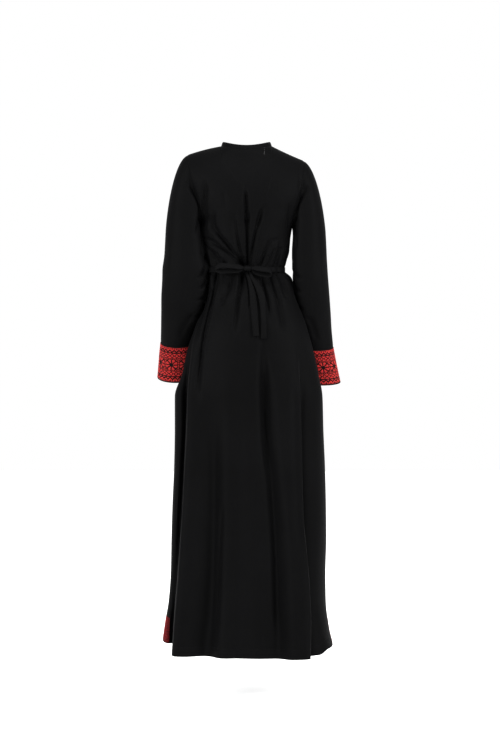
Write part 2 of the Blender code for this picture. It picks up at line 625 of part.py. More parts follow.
def sleeve_rings(side, table, angle):
    """Rings of a table round the arm: angle 0 is the outer side, a quarter turn the back."""
    sign = SIDES[side]
    rings = []
    for ring in table:
        out = ring.x + ring.half_width * np.cos(angle)
        away = -ring.half_depth * np.sin(angle)
        x = sign * out
        y = ring.y + away * math.cos(ring.tip)
        z = ring.level + away * math.sin(ring.tip)
        rings.append(np.stack([x, y, z], axis=-1))
    return np.array(rings)


def make_sleeve(side, back, front):
    """A tube from the armhole over the shoulder and down to the cuff."""
    sign = SIDES[side]
    behind = armhole(back, side)
    before = armhole(front, side)
    hole = np.concatenate([behind, before[1:-1][::-1]])
    underarm = len(behind) - 1
    hole[0] = (behind[0] + before[0]) / 2
    hole[underarm] = (behind[-1] + before[-1]) / 2
    steps = np.linalg.norm(np.diff(behind, axis=0), axis=1)
    share = np.concatenate([[0.0], np.cumsum(steps)]) / steps.sum()
    angle = math.pi * np.concatenate([share, 2.0 - share[1:-1][::-1]])
    height = np.cos(angle / 2) ** 2
    out, down = column(LEAVES, "out", height), column(LEAVES, "down", height)
    leave = unit(np.stack([sign * out, 0 * height, -down], axis=-1))
    away = leave.copy()
    away[underarm] = (sign, 0.0, 0.0)
    start = hole + away * SEAM
    lower = sleeve_rings(side, SLEEVES[side], angle)
    end = lower[0]
    reach = np.linalg.norm(end - start, axis=1)[:, None]
    first = start + leave * reach * column(LEAVES, "guide", height)[:, None]
    second = end + np.array((0.0, 0.0, ARRIVE_GUIDE)) * reach
    rows = [start]
    for t in CAP_STEPS:
        near = (1 - t) ** 3 * start + 3 * (1 - t) ** 2 * t * first
        far = 3 * (1 - t) * t**2 * second + t**3 * end
        rows.append(near + far)
    outer = np.concatenate([np.array(rows), lower])
    make_tube(f"sleeve_{side}", outer, CLOTH, BLACK_CREPE, sign)
    return angle


def make_tube(name, outer, thickness, cloth, sign):
    around = (np.roll(outer, -1, axis=1) - np.roll(outer, 1, axis=1)) * -sign
    up = -np.gradient(outer, axis=0)
    normals = unit(np.cross(around, up))
    inner = outer - normals * thickness
    if sign > 0:
        outer, inner = outer[:, ::-1], inner[:, ::-1]
    wall(name, outer, inner, cloth, closed=True)


def make_cuff(side, angle):
    make_tube(f"cuff_{side}", sleeve_rings(side, CUFFS[side], angle), BAND, RED_STITCH, SIDES[side])


def make_neck_band(back, front):
    """A narrow band that stands up from the neck's edge."""
    def edge(panel):
        middle = np.abs(panel[0, :, 0]) <= NECK_HALF_WIDTH + SEAM
        return panel[0, middle]

    ring = np.concatenate([edge(back), edge(front)[::-1][1:-1]])
    inward = unit((ring.mean(axis=0) - ring) * (1, 1, 0))
    rows = []
    for share in (1.0, 0.5, 0.0):
        climb = np.array((0.0, 0.0, NECK_BAND_LIFT + NECK_BAND_HEIGHT * share))
        rows.append(ring + climb + inward * (NECK_BAND_INSET + NECK_BAND_LEAN * share))
    make_tube("neck_band", np.array(rows), CLOTH, BLACK_CREPE, -1)


def make_belt(back, back_normals):
    """The belt lies on the back from each side seam to the knot."""
    reach = BELT_WIDTH / 2 + SEAM
    rows = [len(RISES) + i for i, level in enumerate(LEVELS) if abs(level - WAIST) < reach]
    middle = BACK_COLUMNS // 2
    halves = {"left": slice(0, middle + 1), "right": slice(middle + 1, BACK_COLUMNS + 1)}
    for side, part in halves.items():
        points = back[rows][:, part]
        facing = back_normals[rows][:, part]
        level = unit(facing * (1, 1, 0))
        inner = points + level * SEAM * 2
        wall(f"belt_{side}", inner + level * STRAP, inner, BLACK_CREPE)


def back_depth(back, x, level):
    """How far back the outer face of the back panel lies at a place below the underarms."""
    rows = np.array(LEVELS)[::-1]
    lower = back[len(RISES) :][::-1]
    depths = [np.interp(x, row[:, 0], row[:, 1]) for row in lower]
    return float(np.interp(level, rows, depths))


def ribbon(name, middles, across):
    """A flat strap along a path; across holds its whole width as a vector at each point."""
    middles = np.array(middles)
    across = np.broadcast_to(across, middles.shape)
    grid = np.stack([middles - across / 2, middles, middles + across / 2], axis=1)
    along = np.gradient(middles, axis=0)
    facing = unit(np.cross(across, -along))[:, None, :]
    wall(name, grid + facing * STRAP / 2, grid - facing * STRAP / 2, BLACK_CREPE)


def smooth_path(points, steps):
    """A smooth curve through a few points, at even steps of its length."""
    points = np.array(points)
    chords = np.linalg.norm(np.diff(points, axis=0), axis=1)
    places = np.concatenate([[0.0], np.cumsum(chords)])
    fine = np.linspace(0.0, places[-1], steps + 1)
    return np.stack([natural_curve(places, points[:, i], fine) for i in range(points.shape[1])], axis=-1)


def natural_curve(places, values, at):
    """A natural cubic spline, read at the given places."""
    count = len(places)
    steps = np.diff(places)
    system = np.eye(count)
    target = np.zeros(count)
    for i in range(1, count - 1):
        system[i, i - 1] = steps[i - 1]
        system[i, i] = 2 * (steps[i - 1] + steps[i])
        system[i, i + 1] = steps[i]
        rise = (values[i + 1] - values[i]) / steps[i] - (values[i] - values[i - 1]) / steps[i - 1]
        target[i] = 6 * rise
    bend = np.linalg.solve(system, target)
    i = np.clip(np.searchsorted(places, at) - 1, 0, count - 2)
    left, right, step = at - places[i], places[i + 1] - at, steps[i]
    return (
        (bend[i] * right**3 + bend[i + 1] * left**3) / (6 * step)
        + (values[i] / step - bend[i] * step / 6) * right
        + (values[i + 1] / step - bend[i + 1] * step / 6) * left
    )


def make_bow(back):
    """The knot on the belt, its two loops and its two hanging ends."""
    belt_face = back_depth(back, KNOT_X, WAIST) - 2 * SEAM - STRAP
    knot_y = belt_face - SEAM - KNOT_RADII[1]
    shape = bmesh.new()
    place = Matrix.Translation((KNOT_X, knot_y, KNOT_LEVEL)) @ Matrix.Rotation(KNOT_TURN, 4, "Y")
    place = place @ Matrix.Diagonal((*KNOT_RADII, 1.0))
    bmesh.ops.create_uvsphere(shape, u_segments=14, v_segments=10, radius=1.0, matrix=place)
    mesh = bpy.data.meshes.new("knot")
    shape.to_mesh(mesh)
    shape.free()
    finish_object("knot", mesh, BLACK_CREPE)
    for side, loop in LOOPS.items():
        path = smooth_path(loop.path, LOOP_STEPS)
        ribbon(f"loop_{side}", path + (0.0, knot_y, 0.0), unit(np.array(loop.lie)) * loop.width)
    for side, tail in TAILS.items():
        path = smooth_path(tail, TAIL_STEPS)
        middles, across = [], []
        for x, level, width, lift in path:
            beside = x + width / 2 * np.linspace(-1.0, 1.0, 5)
            nearest = min(back_depth(back, place, level) for place in beside)
            middles.append((x, nearest - lift - STRAP / 2, level))
            across.append((width, 0.0, 0.0))
        ribbon(f"tail_{side}", middles, np.array(across))


def clear_scene():
    for thing in list(bpy.data.objects):
        bpy.data.objects.remove(thing, do_unlink=True)


def main():
    clear_scene()
    back, back_normals, front, _ = make_body()
    make_gores()
    for side in SIDES:
        angle = make_sleeve(side, back, front)
        make_cuff(side, angle)
    make_neck_band(back, front)
    make_belt(back, back_normals)
    make_bow(back)


main()
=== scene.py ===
"""The looks of the black thobe: thin cloth shells, its cross-stitch and its tied belt.

The back faces -Y and +Z is up. The cloth follows the same tables as the solids, drawn
finely, with its creases, seams and stitches added. Sizes are metres, but millimetres in the
tables of sections, rings, folds, loops and tails.
"""

import math
from collections import namedtuple

import bpy
import numpy as np
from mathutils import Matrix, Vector


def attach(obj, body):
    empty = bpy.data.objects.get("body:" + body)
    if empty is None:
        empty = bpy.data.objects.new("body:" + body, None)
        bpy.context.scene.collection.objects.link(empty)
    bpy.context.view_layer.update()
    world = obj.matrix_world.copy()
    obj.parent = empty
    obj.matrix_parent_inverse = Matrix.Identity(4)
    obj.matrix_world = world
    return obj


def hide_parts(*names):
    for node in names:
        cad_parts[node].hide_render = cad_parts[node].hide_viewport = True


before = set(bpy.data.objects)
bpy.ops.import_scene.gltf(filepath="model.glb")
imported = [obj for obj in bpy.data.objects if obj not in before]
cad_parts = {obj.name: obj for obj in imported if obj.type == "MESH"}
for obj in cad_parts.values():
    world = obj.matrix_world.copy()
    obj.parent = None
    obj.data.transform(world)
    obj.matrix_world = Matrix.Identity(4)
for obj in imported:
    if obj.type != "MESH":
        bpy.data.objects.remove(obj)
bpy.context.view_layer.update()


def metres(*sizes):
    """Sizes in metres, from millimetres."""
    return tuple(round(size / 1000, 7) for size in sizes)


SEAM_GAP = 0.0001         # half of the gap between two panels at a seam
SHEET = 0.0011            # thickness of the cloth that shows
HEM_TURN = 0.026          # height of the turned and stitched hem
SEAM_SINK = 0.0009        # how far the cloth sinks at a seam, and how wide the groove is
SEAM_WIDTH = 0.0028
HEM_SINK = 0.00045        # the same along the stitches of the turned hem
HEM_WIDTH = 0.0009
HEM_THICKER = 0.8         # share by which the cloth is thicker where the hem is turned up
SHOULDER_SEAM = 0.002     # top edge places closer to the shoulder line than this face upwards
SHARP_ANGLE = math.radians(55)   # edges of the cloth that turn more than this stay sharp
TUCK = 0.0005             # how far a sleeve's edge lies under the armhole's
EDGE_SHARES = (0.004, 0.009, 0.016, 0.026)   # closer columns beside the side seams
BACK_COLUMNS = 162        # columns of the panels and of a gore
FRONT_COLUMNS = 108
GORE_COLUMNS = 40
GORE_ROWS = 96
ROUND = 1440              # points of a ring round the body
SEAM = 0.0004             # gap left between neighbouring pieces
STRAP = 0.0024            # depth kept free for the folded strap of the belt and the bow
HEM = -1.366              # level of the hem
UNDERARM = -0.195         # level where the armholes end and the side seams start
WAIST = -0.3145           # middle of the belt
BELT_WIDTH = 0.0148       # height of the belt strap
NECK_HALF_WIDTH = 0.070   # neck opening, from the middle to the side
NECK_BACK = -0.062        # how far the neck opening reaches back and forward
NECK_FRONT = 0.070
NECK_BAND_HEIGHT = 0.012  # the folded band on its edge
NECK_BAND_LIFT = 0.0006   # the band stands this far above the neck's edge and inside it
NECK_BAND_INSET = 0.001
NECK_BAND_LEAN = 0.004    # its top edge leans in by this much more
NECK_BAND_BULGE = 0.0004  # how far its middle bulges out, and how thick it is
NECK_BAND_THICK = 0.0017
NECK_BAND_SHRINK = 0.0005  # how far the outer face of its rounded edges draws in
NECK_BAND_ROUND = (0.35, 0.75) + (1.0,) * 10 + (0.8,)   # thickness of its rows, top edge first
NECK_REACH = 0.0008       # how much wider than the opening the band's seam is
LEFT_HEM_LIFT = 0.024     # how much higher the hem hangs at the side seams
RIGHT_HEM_LIFT = 0.011
HEM_LIFT_START = -1.05    # level where the lift starts
HEM_LIFT_CORNERS = (0.80, 0.92)   # where the lift starts and is full (cosine of the ring's angle)
GORE_TOP = -1.062         # side gores at the hem: level of the point, half of the hem's width
GORE_HALF_WIDTH = 0.070
SEAM_TURN = 0.036         # how far the side seams have moved round at the hem, the left one back
SEAM_TURN_START = -1.10   # level where they start to move
# The body below the underarms: half-widths to the left and right, depth of the back and of
# the front from the side seams, how far forward the side seams lie, and how square it is.
Section = namedtuple("Section", "level left right back front forward square")
BODY = [Section(*metres(*sizes), square) for *sizes, square in (
    (-195, 126, 126.5, 90, 112, 0, 2.3),
    (-225, 124.5, 121.5, 87, 116, 0, 2.3),
    (-262, 122, 118, 80, 106, 0, 2.2),
    (-292, 115, 108, 74, 92, 0, 2.1),
    (-314.5, 113, 104, 71, 85, 0, 2.1),
    (-342, 117, 127, 84, 88, 0, 2.1),
    (-397, 123, 147, 105, 98, 0, 2.2),
    (-466, 140, 165, 104, 122, -16, 2.2),
    (-535, 163, 184, 103, 136, -24, 2.2),
    (-600, 177, 198, 108, 142, -22, 2.3),
    (-663, 198, 210, 121, 138, -12, 2.4),
    (-755, 198.5, 213, 136, 138, 0, 2.4),
    (-860, 201, 218, 152, 137, 14, 2.5),
    (-967, 206, 221, 162, 143, 21, 2.6),
    (-1062, 209, 222, 171, 147, 28, 2.7),
    (-1157, 211, 220, 181, 151, 35, 2.8),
    (-1242, 216.5, 221.5, 190, 154, 40, 2.8),
    (-1323, 228, 231, 197, 158, 44, 2.9),
    (-1366, 234, 241, 200, 160, 45, 2.9),
)]

# The yoke above the underarms, by the share of the armhole's height: how far out the two
# armhole edges lie, and how far back and forward its middle reaches.
Yoke = namedtuple("Yoke", "rise left right back front")
YOKE = [Yoke(rise, *metres(*sizes)) for rise, *sizes in (
    (0.00, 126, 126.5, 90, 112),
    (0.15, 126.2, 130, 92, 108),
    (0.30, 128.5, 137, 94, 100),
    (0.50, 141, 147, 91, 90),
    (0.72, 156, 154.5, 83, 80),
    (1.00, 163, 158, 72, 74),
)]
ARMHOLE_DEPTH = 0.056     # how far the armhole edges lie behind and before the shoulder line
ARMHOLE_CURVE = 0.8       # how quickly they part above the underarm
ROLL = 0.45               # rise from which the yoke rolls over towards the shoulder seam
ROLL_CURVE = 2.4          # how late the roll bends
YOKE_SQUARE = 2.5         # how flat the yoke's middle is
YOKE_EDGE = 1.6           # how sharply it turns towards the armholes
EVEN_RISE = 0.40          # rise by which the columns are evenly spread
SPREAD_RISE = 0.30        # rise from which they move to their places on the top edge
NECK_RISE = 0.75          # rise from which the cloth closes on the neck's edge
NECK_DIP = 0.7            # soft hollow below the neck's edge: its depth and its width
NECK_DIP_WIDTH = 0.8
LEFT_SHOULDER_SLOPE = 0.65    # share of a shoulder seam's drop that is straight
RIGHT_SHOULDER_SLOPE = 1.12
CALM_LEVEL = -0.035       # folds of the back fade out up to this level
CALM_FADE = 0.06
CALM_EDGE = 0.04          # and within this share of the armhole edges

# The top edge: level of the shoulder seams at the neck and at the tips, and of the neck's edge.
NECK_SIDE_LEVEL = 0.027
NECK_BACK_LEVEL = 0.014
NECK_FRONT_LEVEL = -0.036
LEFT_TIP_LEVEL = 0.003
RIGHT_TIP_LEVEL = -0.013

# Sleeves: middle of each ring, its half-width and half-depth, and how far its plane tips
# so that its back edge hangs lower (radians). x counts outwards from the body's middle.
Ring = namedtuple("Ring", "level x y half_width half_depth tip")


def arm_rings(*rows):
    """Rings from rows in millimetres and radians."""
    return tuple(Ring(*metres(*sizes), tip) for *sizes, tip in rows)


SLEEVES = {
    "left": arm_rings(
        (-270, 170.8, -11, 54.8, 56.5, 0.00),
        (-320, 168, -16, 64, 55, 0.00),
        (-375, 170.8, -8, 64, 54, 0.06),
        (-430, 177.6, 2, 58.5, 52, 0.14),
        (-475, 184.2, 22, 53.5, 49.5, 0.24),
        (-512, 191, 42, 48.5, 47, 0.34),
    ),
    "right": arm_rings(
        (-270, 173.5, -2, 48, 56, 0.00),
        (-320, 175.5, -3, 49, 55, 0.00),
        (-375, 179.5, 3, 49.5, 54, 0.04),
        (-430, 184.5, 15, 49, 52, 0.10),
        (-480, 189.5, 28, 47.5, 49, 0.16),
        (-526, 195, 42, 47, 48, 0.20),
    ),
}
CUFFS = {
    "left": arm_rings(
        (-512.6, 191.1, 42.3, 48.9, 47.4, 0.34),
        (-545, 193.5, 52, 50.5, 49, 0.33),
        (-578, 195.5, 62, 51.5, 50, 0.32),
        (-612, 197.5, 73, 53, 51, 0.31),
    ),
    "right": arm_rings(
        (-526.6, 195.1, 42.2, 47.4, 48.4, 0.20),
        (-560, 199.5, 51, 49.5, 49.5, 0.19),
        (-592, 205, 60, 51, 50, 0.18),
        (-626, 211, 70, 53, 51, 0.17),
    ),
}
SIDES = {"left": -1, "right": 1}
# How a sleeve leaves its armhole, by height from the underarm (0) to the shoulder tip (1): the
# outward and downward parts of its direction, and the length of its curve's first guide.
Leave = namedtuple("Leave", "height out down guide")
LEAVES = (
    Leave(0.00, 0.300, 1.000, 0.300),
    Leave(0.25, 0.290, 0.825, 0.259),
    Leave(0.60, 0.620, 0.580, 0.201),
    Leave(1.00, 1.000, 0.300, 0.135),
)
ARRIVE_GUIDE = 0.42       # length of the second guide, at a sleeve's first ring

# The skirt's sides give way to the sleeves that lie against them.
SLEEVE_CLEARANCE = 0.0009  # the skirt's side lies this far inside a sleeve
PRESS_TOP = -0.236        # level below which a sleeve presses, and how soon it does so fully
PRESS_START = 0.034
PRESS_FADE = (-0.635, -0.730)   # levels between which the pressing fades out
PRESS_INNER = 0.05        # the middle of the skirt, up to here, is never pressed
PRESS_SOFTNESS = 0.004    # how softly the cloth bends into the hollow
PRESS_DEPTH = 1.06        # the hollow is this much deeper than the sleeve
PRESS_FLARE = 1.2         # how steeply it opens before and behind the sleeve
PRESS_RELEASE = 0.4       # how far out the limit moves where the pressing has faded
SLEEVE_SQUARE = 1.3       # how much squarer than an ellipse a sleeve is behind, beside the body
SQUARE_END = -0.475       # level at which that ends, and over what height
SQUARE_FADE = 0.05

# Folds of the back: the path from its first to its last point (x and level), the widths of
# its two flanks (towards -X and +X), and how far it stands out (minus: sinks in) at the two
# ends.
Fold = namedtuple("Fold", "path left right first last")


def folds(*rows):
    """Folds from rows in millimetres: the widths, the heights, then the points of the path."""
    made = []
    for left, right, first, last, *path in rows:
        made.append(Fold([metres(*place) for place in path], *metres(left, right, first, last)))
    return tuple(made)


BACK_FOLDS = folds(
    # the middle of the back, and the creases that run to the knot
    (7, 8, -4, -8, (-4, -85), (-4, -170), (-2, -250), (0, -312)),
    (7, 7, -3, -5, (-40, -170), (-26, -240), (-8, -300)),
    (8, 8, -3, -5, (52, -130), (24, -220), (6, -305)),
    (8, 8, -5, -5, (-119, -160), (-86, -213), (-40, -267), (-10, -306)),
    (7, 7, -4, -5, (-113, -235), (-80, -252), (-45, -278), (-18, -303)),
    (7, 7, -3, -4, (85, -225), (62, -258), (40, -298)),
    (10, 12, -4, -6, (-108, -85), (-121, -140), (-120, -200)),
    # the skirt, from the knot and belt downwards
    (8, 9, -7, -3, (-10, -322), (-22, -395), (-34, -500)),
    (8, 9, -5, -3, (-43, -335), (-70, -420)),
    (8, 9, -6, -3, (42, -330), (50, -370), (60, -450)),
    (9, 10, -6, -4, (65, -330), (80, -380), (103, -490)),
    (10, 11, -6, -4, (-83, -325), (-116, -430), (-131, -580), (-136, -720)),
    (16, 11, -10, -30, (-104, -365), (-152, -510), (-167, -640), (-180, -970), (-190, -1160),
     (-209, -1440)),
    (12, 26, 6, 30, (-92, -365), (-140, -510), (-152, -640), (-162, -970), (-174, -1160),
     (-191, -1440)),
    (30, 36, -8, -44, (-95, -620), (-98, -850), (-105, -1100), (-135, -1440)),
    (16, 18, -8, -10, (45, -500), (53, -700), (67, -880), (81, -1110), (87, -1440)),
    (52, 11, 6, 70, (128, -480), (134, -660), (136, -960), (145, -1160), (149, -1440)),
    (12, 36, -6, -36, (150, -480), (155, -660), (156, -960), (164, -1160), (168, -1440)),
)
# Folds of the front, which hangs plainly from the bust.
FRONT_FOLDS = folds(
    (20, 30, -3, -24, (-50, -220), (-70, -480), (-85, -900), (-100, -1440)),
    (28, 22, -3, -26, (55, -230), (66, -500), (90, -900), (112, -1440)),
    (30, 30, 4, 20, (0, -330), (4, -700), (10, -1440)),
    (22, 18, 4, 22, (-118, -640), (-150, -950), (-166, -1440)),
    (18, 22, 4, 20, (120, -660), (150, -980), (168, -1440)),
    (7, 7, -3, -3, (-96, -255), (-60, -300)),
    (7, 7, -3, -3, (96, -255), (60, -302)),
)
# Gathers round the belt: waves round the whole ring, their height and their phase.
Gather = namedtuple("Gather", "waves height phase")
GATHERS = (
    Gather(15, 0.0022, 0.4),
    Gather(19, 0.0018, 2.1),
    Gather(33, 0.0008, 1.1),
    Gather(47, 0.0006, 0.3),
)
GATHER_START = 0.018      # how far from the belt's middle they are full, and how they fade out
GATHER_REACH = 0.045
BELT_PRESS = 0.15         # share of a fold's height that is left under the belt
BELT_REACH = 0.013        # how far from the belt's middle the folds are free again
BELT_NEAR = 0.024         # folds that end this close to the belt run on under it
UNDER_BELT = 0.006        # and fade out there over this distance
FOLD_END = 0.16           # share of a fold's length in which it rises and ends
FOLD_STEP = 0.004         # step over which a fold's slope is taken
SIDE_CALM = (0.10, 0.40)  # folds start beside the side seams (sine of the ring's angle)

# The bow: the knot, and the loops as paths from it and back (depth counts from the knot's
# middle), with the direction in which the strap's width lies.
KNOT_X = 0.003
KNOT_LEVEL = -0.3125
KNOT_RADII = (0.0105, 0.0085, 0.0080)
KNOT_TURN = 0.15
Loop = namedtuple("Loop", "path lie width")
LOOPS = {
    "left": Loop([metres(*place) for place in (
        (-7, -4.2, -311), (-30, -11, -307.5), (-56, -14, -305.2), (-77, -13.5, -307.5),
        (-84.5, -11, -313), (-77, -8.5, -318), (-55, -7, -319.8), (-30, -4, -318.5),
        (-7.6, 1.5, -315),
    )], (0.0, -0.36, -0.93), 0.0145),
    "right": Loop([metres(*place) for place in (
        (14.2, -4, -311.5), (32, -9.5, -313), (52, -12, -316), (64.5, -12, -320),
        (68.5, -10.5, -326), (63, -8.5, -330.5), (47, -6.5, -330), (30, -4, -326),
        (14.5, 0.5, -319),
    )], (0.0, -0.50, -0.87), 0.0140),
}
# The hanging ends: places along each, its width there and its lift off the back.
Tail = namedtuple("Tail", "x level width lift")
TAILS = {
    "left": [Tail(*metres(*sizes)) for sizes in (
        (-0.5, -321.2, 8, 4),
        (7, -342, 10, 4),
        (16.5, -385, 17, 3.5),
        (21.5, -435, 18, 3.5),
        (26.5, -496, 17, 4),
    )],
    "right": [Tail(*metres(*sizes)) for sizes in (
        (8.8, -320.3, 8, 4),
        (14.8, -336, 10, 4),
        (25.5, -352, 15, 4.5),
        (37, -376, 18.5, 5),
        (44.5, -420, 15.5, 4.5),
        (47.2, -503, 16.5, 4.5),
    )],
}


# Rows of the cloth that shows, closer where it is gathered and at the hem.
LEVELS = np.concatenate([
    np.linspace(UNDERARM, -0.250, 17)[:-1],
    np.linspace(-0.250, -0.420, 78)[:-1],
    np.linspace(-0.420, -0.620, 41)[:-1],
    np.linspace(-0.620, HEM + HEM_TURN + 0.004, 72),
    HEM + HEM_TURN + np.array((0.0015, 0.0006, -0.0002, -0.0010, -0.0025)),
    HEM + np.array((0.018, 0.012, 0.006, 0.002, 0.0)),
])
RISES = np.concatenate([
    np.linspace(0.02, ROLL, 20),
    ROLL + (1.0 - ROLL) * np.sin(np.arange(1, 29) / 28 * math.pi / 2) ** (2 / ROLL_CURVE),
])
JOIN_RISE = 0.22          # rise by which the yoke has left the body's section at the underarm
NECK_CORNER = 4 / 9       # place of the neck's corners across a panel
SMOOTHED = 6              # rows on each side of the underarm that are evened out, how often
SMOOTHINGS = 12
CAP_SMOOTHED = 4          # the same at the end of a sleeve's cap
CAP_SMOOTHINGS = 10

# Fine creases of the back and the front, laid over the folds.
BACK_CREASES = folds(
    # edges of the neck facing, showing through
    (1.8, 5, 3.2, 3, (-63, -10), (-36, -66), (-6, -100)),
    (5, 1.8, 3, 2.4, (70, -20), (63, -78), (51, -120)),
    # beside the armholes
    (5, 6, -6, -6, (-112, -62), (-116, -115), (-120, -165), (-120, -210)),
    (3.2, 3.6, -5, -4, (143, -24), (145, -60), (145, -96)),
    (3, 3.2, -3.6, -3.6, (150, -30), (151.5, -56), (150.5, -86)),
    (5, 6, -3, -5, (120, -130), (116.5, -190), (114, -240)),
    (7, 6, -2.2, -1.4, (-62, -105), (-56, -150)),
    # towards the knot
    (3, 4.4, -5.6, -9.5, (-4, -85), (1, -180), (2, -300)),
    (3.6, 3.2, 2.2, 5.6, (-12, -110), (-6, -200), (-2, -300)),
    (4.6, 4.2, -2.4, -7, (-34, -180), (-22, -240), (-10, -296)),
    (3.6, 4, 1.7, 4, (-25, -200), (-12, -290)),
    (4.6, 4.2, -3.6, -8, (48, -134), (24, -216), (8, -300)),
    (4, 4, 1.8, 4.5, (34, -160), (14, -240), (6, -298)),
    (4.6, 4.6, -8, -7.6, (-120, -160), (-87, -208), (-40, -264), (-12, -300)),
    (4.8, 4.8, 3.4, 2.2, (-118, -178), (-86, -224), (-44, -276)),
    (4.4, 4.4, -6, -6.4, (-120, -222), (-87, -244), (-46, -276), (-18, -302)),
    (4.2, 4.4, -4.4, -4.8, (-117, -240), (-92, -276), (-66, -300)),
    (4.2, 4.2, 2.2, 2.9, (-104, -246), (-78, -268), (-50, -298)),
    (3.8, 3.8, -3, -3.8, (-84, -262), (-62, -296)),
    (4.6, 4.6, -3, -5, (68, -228), (54, -262), (42, -296)),
    (4.2, 4.2, -3.2, -4.4, (82, -255), (60, -300)),
    (3.8, 3.8, 1.8, 2.7, (76, -236), (58, -280)),
    (4, 4, -2.6, -3.6, (98, -250), (82, -300)),
    # down from the belt
    (3.8, 4.6, -7, -3.4, (-12, -326), (-23, -396), (-37, -494)),
    (4, 4, 3.4, 1.4, (-20, -328), (-32, -392), (-45, -470)),
    (3.8, 3.8, -5.2, -2.2, (2, -330), (10, -388), (8, -430)),
    (4.4, 4.4, -4, -2.2, (-43, -342), (-70, -414)),
    (4.2, 4.2, -6, -2.6, (43, -334), (62, -438)),
    (3.6, 3.6, 2.7, 1.1, (34, -330), (46, -400)),
    (4.4, 4.8, -6.6, -3, (66, -334), (91, -410), (104, -480)),
    (3.6, 3.6, 2.7, 1.1, (58, -332), (78, -396)),
    (4, 4, -4, -2, (86, -334), (108, -396)),
    (4.8, 4.8, -6.4, -6.2, (-82, -334), (-101.8, -436), (-118, -515.5), (-130, -596), (-137, -675)),
    (4.6, 4.6, 3.1, 2.2, (-73, -334), (-92, -436), (-108, -515.5), (-117, -560)),
    (4, 4, 4, 4, (-90, -350), (-98, -385), (-111, -436), (-127.5, -515.5)),
    # the deep fold of the left side and its ridge
    (9, 7, -10, -20, (-116, -372), (-154, -480), (-172, -596), (-180, -760), (-188, -976),
     (-200, -1170), (-212, -1420)),
    (2.4, 4.4, 5.6, 9, (-106, -372), (-145, -480), (-162, -596), (-170, -760), (-178, -976),
     (-190, -1170), (-205, -1420)),
    # long soft folds of the skirt
    (22, 24, -5, -11, (-104, -700), (-98, -900), (-95, -1130), (-96, -1420)),
    (5, 7, -5, -6, (-66, -940), (-76, -1090), (-84, -1300)),
    (22, 18, 1.5, 6, (-46, -520), (-58, -760), (-66, -1050), (-74, -1440)),
    (11, 12, -7, -14, (45, -516), (53, -760), (67, -882), (81, -1117), (88, -1361)),
    (14, 12, 3, 6, (80, -560), (90, -820), (106, -1100), (112, -1440)),
    (20, 24, 1.2, 5, (10, -560), (14, -820), (22, -1120), (30, -1440)),
    (14, 16, -1, -4, (-20, -700), (-22, -1000), (-28, -1440)),
    # the sharp ridge of the right side and its valleys
    (5, 3.6, 4, 6, (143, -546), (140, -676), (143, -1025), (151, -1170), (158, -1400)),
    (9, 10, -5, -11, (156, -560), (154, -700), (158, -1025), (168, -1170), (176, -1400)),
    (8, 8, -3, -4, (126, -600), (124, -800), (130, -1100)),
)
# Deep narrow hollows of the back, sunk straight in (towards +Y).
BACK_HOLLOWS = folds(
    (7.5, 4.5, 12, 20, (-108, -380), (-139, -453), (-158, -540), (-165, -640), (-167, -753),
     (-174, -858), (-180, -961), (-191, -1148), (-203, -1300), (-208, -1420)),
    (3.8, 3.8, 5.2, 2.2, (-82, -336), (-90, -385), (-96, -412), (-102.8, -439), (-109.2, -466),
     (-118, -515.5), (-125, -600), (-130, -680)),
    (8, 10, 7, 4, (43, -480), (50, -640), (52, -760), (56, -880)),
)
FRONT_CREASES = folds(
    (6, 6, -1.5, -2.6, (-86, -215), (-52, -262), (-30, -300)),
    (6, 6, -1.5, -2.6, (86, -215), (54, -264), (32, -300)),
    (5, 5, 1.2, 2.2, (-70, -245), (-50, -300)),
    (5, 5, 1.2, 2.2, (66, -250), (46, -300)),
    (4, 4, -1.2, -2.2, (-12, -262), (-10, -302)),
    (4, 4, 1.2, 2, (14, -258), (12, -302)),
    (5, 5, -2.6, -1, (-16, -328), (-24, -420), (-30, -560)),
    (5, 5, -2.8, -1, (18, -328), (28, -430), (32, -600)),
    (5, 5, 2.4, 1, (-46, -328), (-60, -400), (-66, -500)),
    (5, 5, 2.2, 1, (46, -328), (60, -410), (66, -520)),
    (4, 4, -2.2, -0.8, (-74, -330), (-90, -400)),
    (4, 4, -2.2, -0.8, (74, -330), (92, -410)),
    (16, 18, -1.5, -8, (-20, -560), (-26, -900), (-30, -1440)),
    (18, 16, 1.5, 8, (36, -560), (44, -900), (52, -1440)),
)
